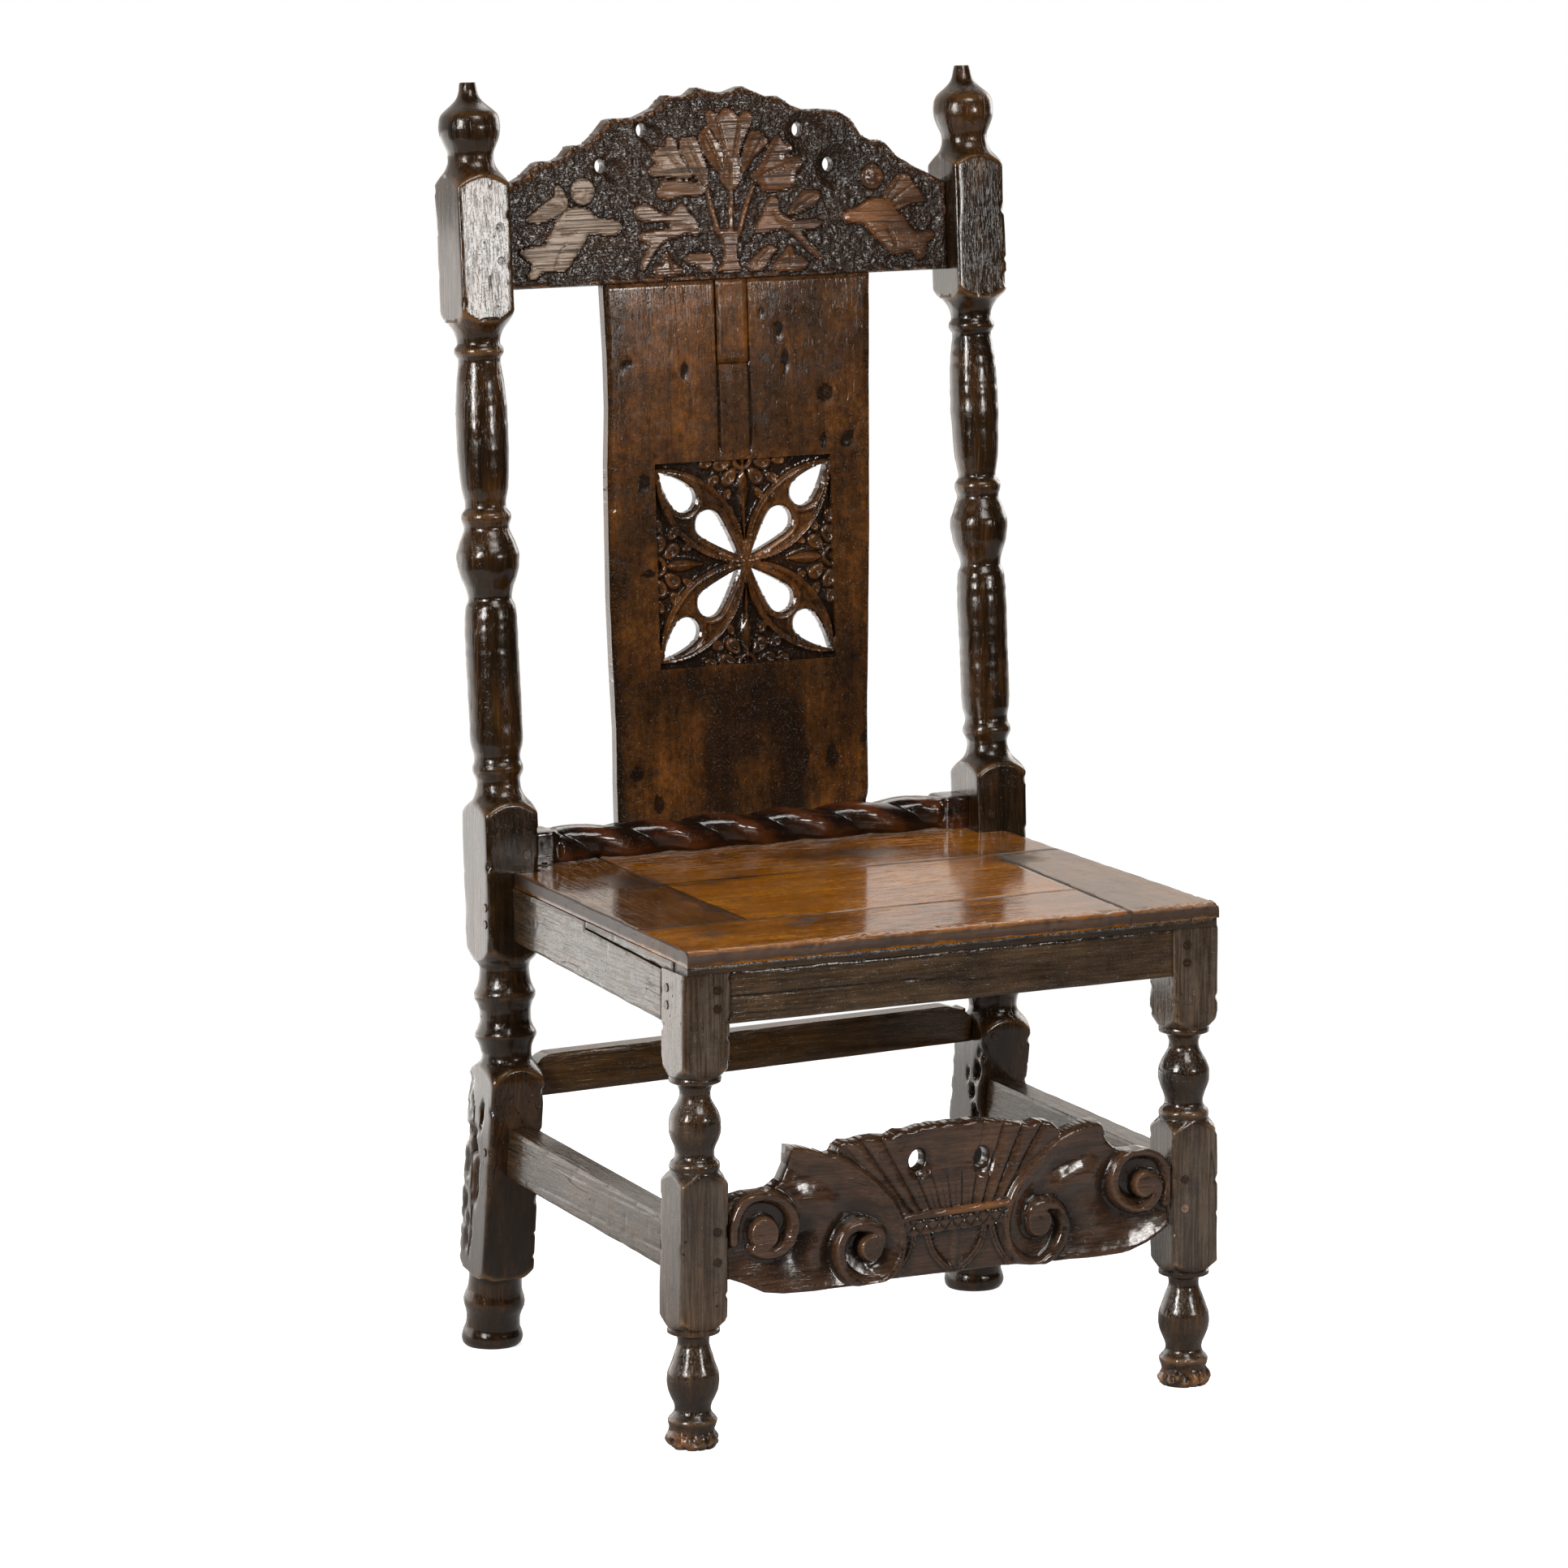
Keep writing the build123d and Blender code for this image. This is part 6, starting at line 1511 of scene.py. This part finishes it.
def peg_tree():
    """A riven, eight-sided pin at each point, a little different each time."""
    b, size = shape_tree("riven_pegs", {"Flats": 8.0, "Unevenness": 0.0002}, grows=True)
    pin = b.node("GeometryNodeMeshCylinder", Vertices=size["Flats"], Side_Segments=5, Fill_Segments=2,
                 Radius=1.0, Depth=1.0)
    turned = b.node("FunctionNodeAlignRotationToVector", {"axis": "Z"}, Vector=b.node(
        "GeometryNodeInputNamedAttribute", {"data_type": "FLOAT_VECTOR"}, Name="aim"))
    wide, long = (b.node("GeometryNodeInputNamedAttribute", {"data_type": "FLOAT"}, Name=n)
                  for n in ("wide", "long"))
    placed = b.node("GeometryNodeInstanceOnPoints", Points=size["Geometry"], Instance=pin, Rotation=turned,
                    Scale=b.node("ShaderNodeCombineXYZ", _0=wide, _1=wide, _2=long))
    whole = b.node("GeometryNodeRealizeInstances", Geometry=placed)
    wobble = b.node("ShaderNodeTexNoise", None, 1, Scale=210.0, Detail=1.0)
    shift = b.node("ShaderNodeVectorMath", {"operation": "SUBTRACT"}, _0=wobble, _1=(0.5, 0.5, 0.5))
    scaled = b.node("ShaderNodeVectorMath", {"operation": "SCALE"}, _0=shift, Scale=size["Unevenness"])
    moved = b.node("GeometryNodeSetPosition", Geometry=whole, Offset=scaled)
    b.end("NodeGroupOutput", b.node("GeometryNodeSetMaterial", Geometry=moved, Material=size["Finish"]))
    return b.tree


RENEWED_BELOW = 0.178      # height between the two pins of a front leg, in metres
pegs = peg_tree()
for group in ("crest_pegs", "twist_rail_pegs", "seat_rail_pegs", "side_stretcher_pegs", "back_stretcher_pegs",
              "front_stretcher_pegs"):
    places = peg_places(group)
    points = bpy.data.meshes.new(group + "_points")
    points.from_pydata([tuple(p[0]) for p in places], [], [])
    for key, kind, column in (("aim", "FLOAT_VECTOR", 1), ("wide", "FLOAT", 2), ("long", "FLOAT", 3)):
        values = np.array([p[column] for p in places], np.float32).ravel()
        points.attributes.new(key, kind, "POINT").data.foreach_set(
            "vector" if kind == "FLOAT_VECTOR" else "value", values)
    pins = from_tree(group, pegs, points, {"Finish": peg_oak}, [group], crease=25)
    if group == "crest_pegs":
        # pared flush with the leaning face of the block
        spots, middles = np.array([v.co for v in pins.data.vertices]), np.array([p[0] for p in places])
        own = middles[np.abs(spots[:, None, ::2] - middles[None, :, ::2]).sum(2).argmin(1)]
        spots[:, 1] += LEANS[2] * (spots[:, 2] - own[:, 2])
        pins.data.vertices.foreach_set("co", spots.ravel())
        pins.data.update()
    if group == "front_stretcher_pegs":
        # the lower right-hand pin was renewed in paler wood
        pale = np.array([v.co.x > 0 and v.co.z < RENEWED_BELOW for v in pins.data.vertices], np.float32)
        for mark, share in (("amber", 0.3), ("dry", 0.55)):
            pins.data.attributes.new(mark, "FLOAT", "POINT").data.foreach_set("value", pale * share)


# ---------------------------------------------------------------- light, camera, floor

def lamp(name, azimuth, height, away, wide, tall, watts):
    """A soft box that faces the chair: degrees round it, metres up and away, its size and its watts."""
    light = bpy.data.lights.new(name, "AREA")
    light.shape = "RECTANGLE"
    light.size, light.size_y, light.energy = wide, tall, watts
    light.color = (1.0, 0.965, 0.925)
    o = stood(name, light)
    a = math.radians(azimuth)
    o.location = (away * math.sin(a), -away * math.cos(a), height)
    o.rotation_euler = (Vector((0, 0, 0.6)) - o.location).to_track_quat("-Z", "Y").to_euler()
    o.visible_camera = False


lamp("left_softbox", -62, 1.7, 3.4, 0.7, 1.5, 110)
lamp("right_softbox", 20, 1.31, 3.6, 0.75, 0.55, 31)
lamp("front_softbox", 4, 3.3, 2.6, 1.6, 1.2, 55)
lamp("back_wash", -150, 0.48, 1.15, 1.6, 0.92, 8)
lamp("high_softbox", 150, 3.2, 2.2, 1.6, 1.6, 30)
lamp("rim_softbox", 118, 1.5, 3.0, 1.2, 1.6, 22)

world = bpy.data.worlds.new("studio")
bpy.context.scene.world = world
b = cleared(world)
way = b.node("ShaderNodeSeparateXYZ", None, 1, Vector=b.node("ShaderNodeTexCoord", None, 0))
behind = way.between(0.05, 0.45) * 0.98 + 0.02
plain = b.node("ShaderNodeBackground", Color=WHITE, Strength=0.22)
seen = b.node("ShaderNodeBackground", Color=WHITE, Strength=1.0)
mirrored = b.node("ShaderNodeBackground", Color=(1, 0.93, 0.86, 1), Strength=behind)
glossy, direct = (b.node("ShaderNodeLightPath", None, ray) for ray in ("Is Glossy Ray", "Is Camera Ray"))
mixed = b.node("ShaderNodeMixShader", _0=glossy, _1=plain, _2=mirrored)
mixed = b.node("ShaderNodeMixShader", _0=direct, _1=mixed, _2=seen)
b.end("ShaderNodeOutputWorld", mixed)

floor_mesh = bpy.data.meshes.new("floor")
floor_mesh.from_pydata([(-2.4, -1.5, 0), (2.4, -1.5, 0), (2.4, 4, 0), (-2.4, 4, 0)], [], [(0, 1, 2, 3)])
floor = stood("floor", floor_mesh)
paper = bpy.data.materials.new("paper_floor")
b = cleared(paper)
sheet = b.node("ShaderNodeEmission", Color=(1, 0.97, 0.93, 1), Strength=1.45)
matt = b.node("ShaderNodeBsdfDiffuse", Color=(0.86, 0.86, 0.86, 1))
glow = b.node("ShaderNodeEmission", Color=WHITE, Strength=0.72)
white = b.node("ShaderNodeEmission", Color=WHITE, Strength=1.0)
away = b.node("ShaderNodeVectorMath", {"operation": "LENGTH"}, 1, _0=b.node("ShaderNodeTexCoord", None, 3))
both = b.node("ShaderNodeMixShader", _0=away.between(0.7, 1.7),
              _1=b.node("ShaderNodeAddShader", _0=matt, _1=glow), _2=white)
grey = b.node("ShaderNodeBsdfDiffuse", Color=(0.5, 0.5, 0.5, 1))
depth = b.node("ShaderNodeSeparateXYZ", None, 1, Vector=b.node("ShaderNodeTexCoord", None, 3))
behind = b.node("ShaderNodeMixShader", _0=depth.between(0.0, 0.7), _1=b.node(
    "ShaderNodeBsdfDiffuse", Color=(0.4, 0.4, 0.4, 1)), _2=sheet)
glossy, direct = (b.node("ShaderNodeLightPath", None, ray) for ray in ("Is Glossy Ray", "Is Camera Ray"))
unseen = b.node("ShaderNodeMixShader", _0=glossy, _1=grey, _2=behind)
b.end("ShaderNodeOutputMaterial", b.node("ShaderNodeMixShader", _0=direct, _1=unseen, _2=both))
floor_mesh.materials.append(paper)

camera = stood("camera", bpy.data.cameras.new("camera"))
camera.data.lens, camera.data.sensor_width = 164.65, 36.0
camera.data.clip_end = 60
target = Vector((-0.009, 0.07245, 0.5168))
yaw, pitch, reach = math.radians(26.6), math.radians(9.62), 6.4617
forward = Vector((math.sin(yaw) * math.cos(pitch), math.cos(yaw) * math.cos(pitch), -math.sin(pitch)))
camera.location = target - forward * reach
camera.rotation_euler = forward.to_track_quat("-Z", "Y").to_euler()
bpy.context.scene.camera = camera
bpy.context.scene.view_settings.view_transform = "Standard"
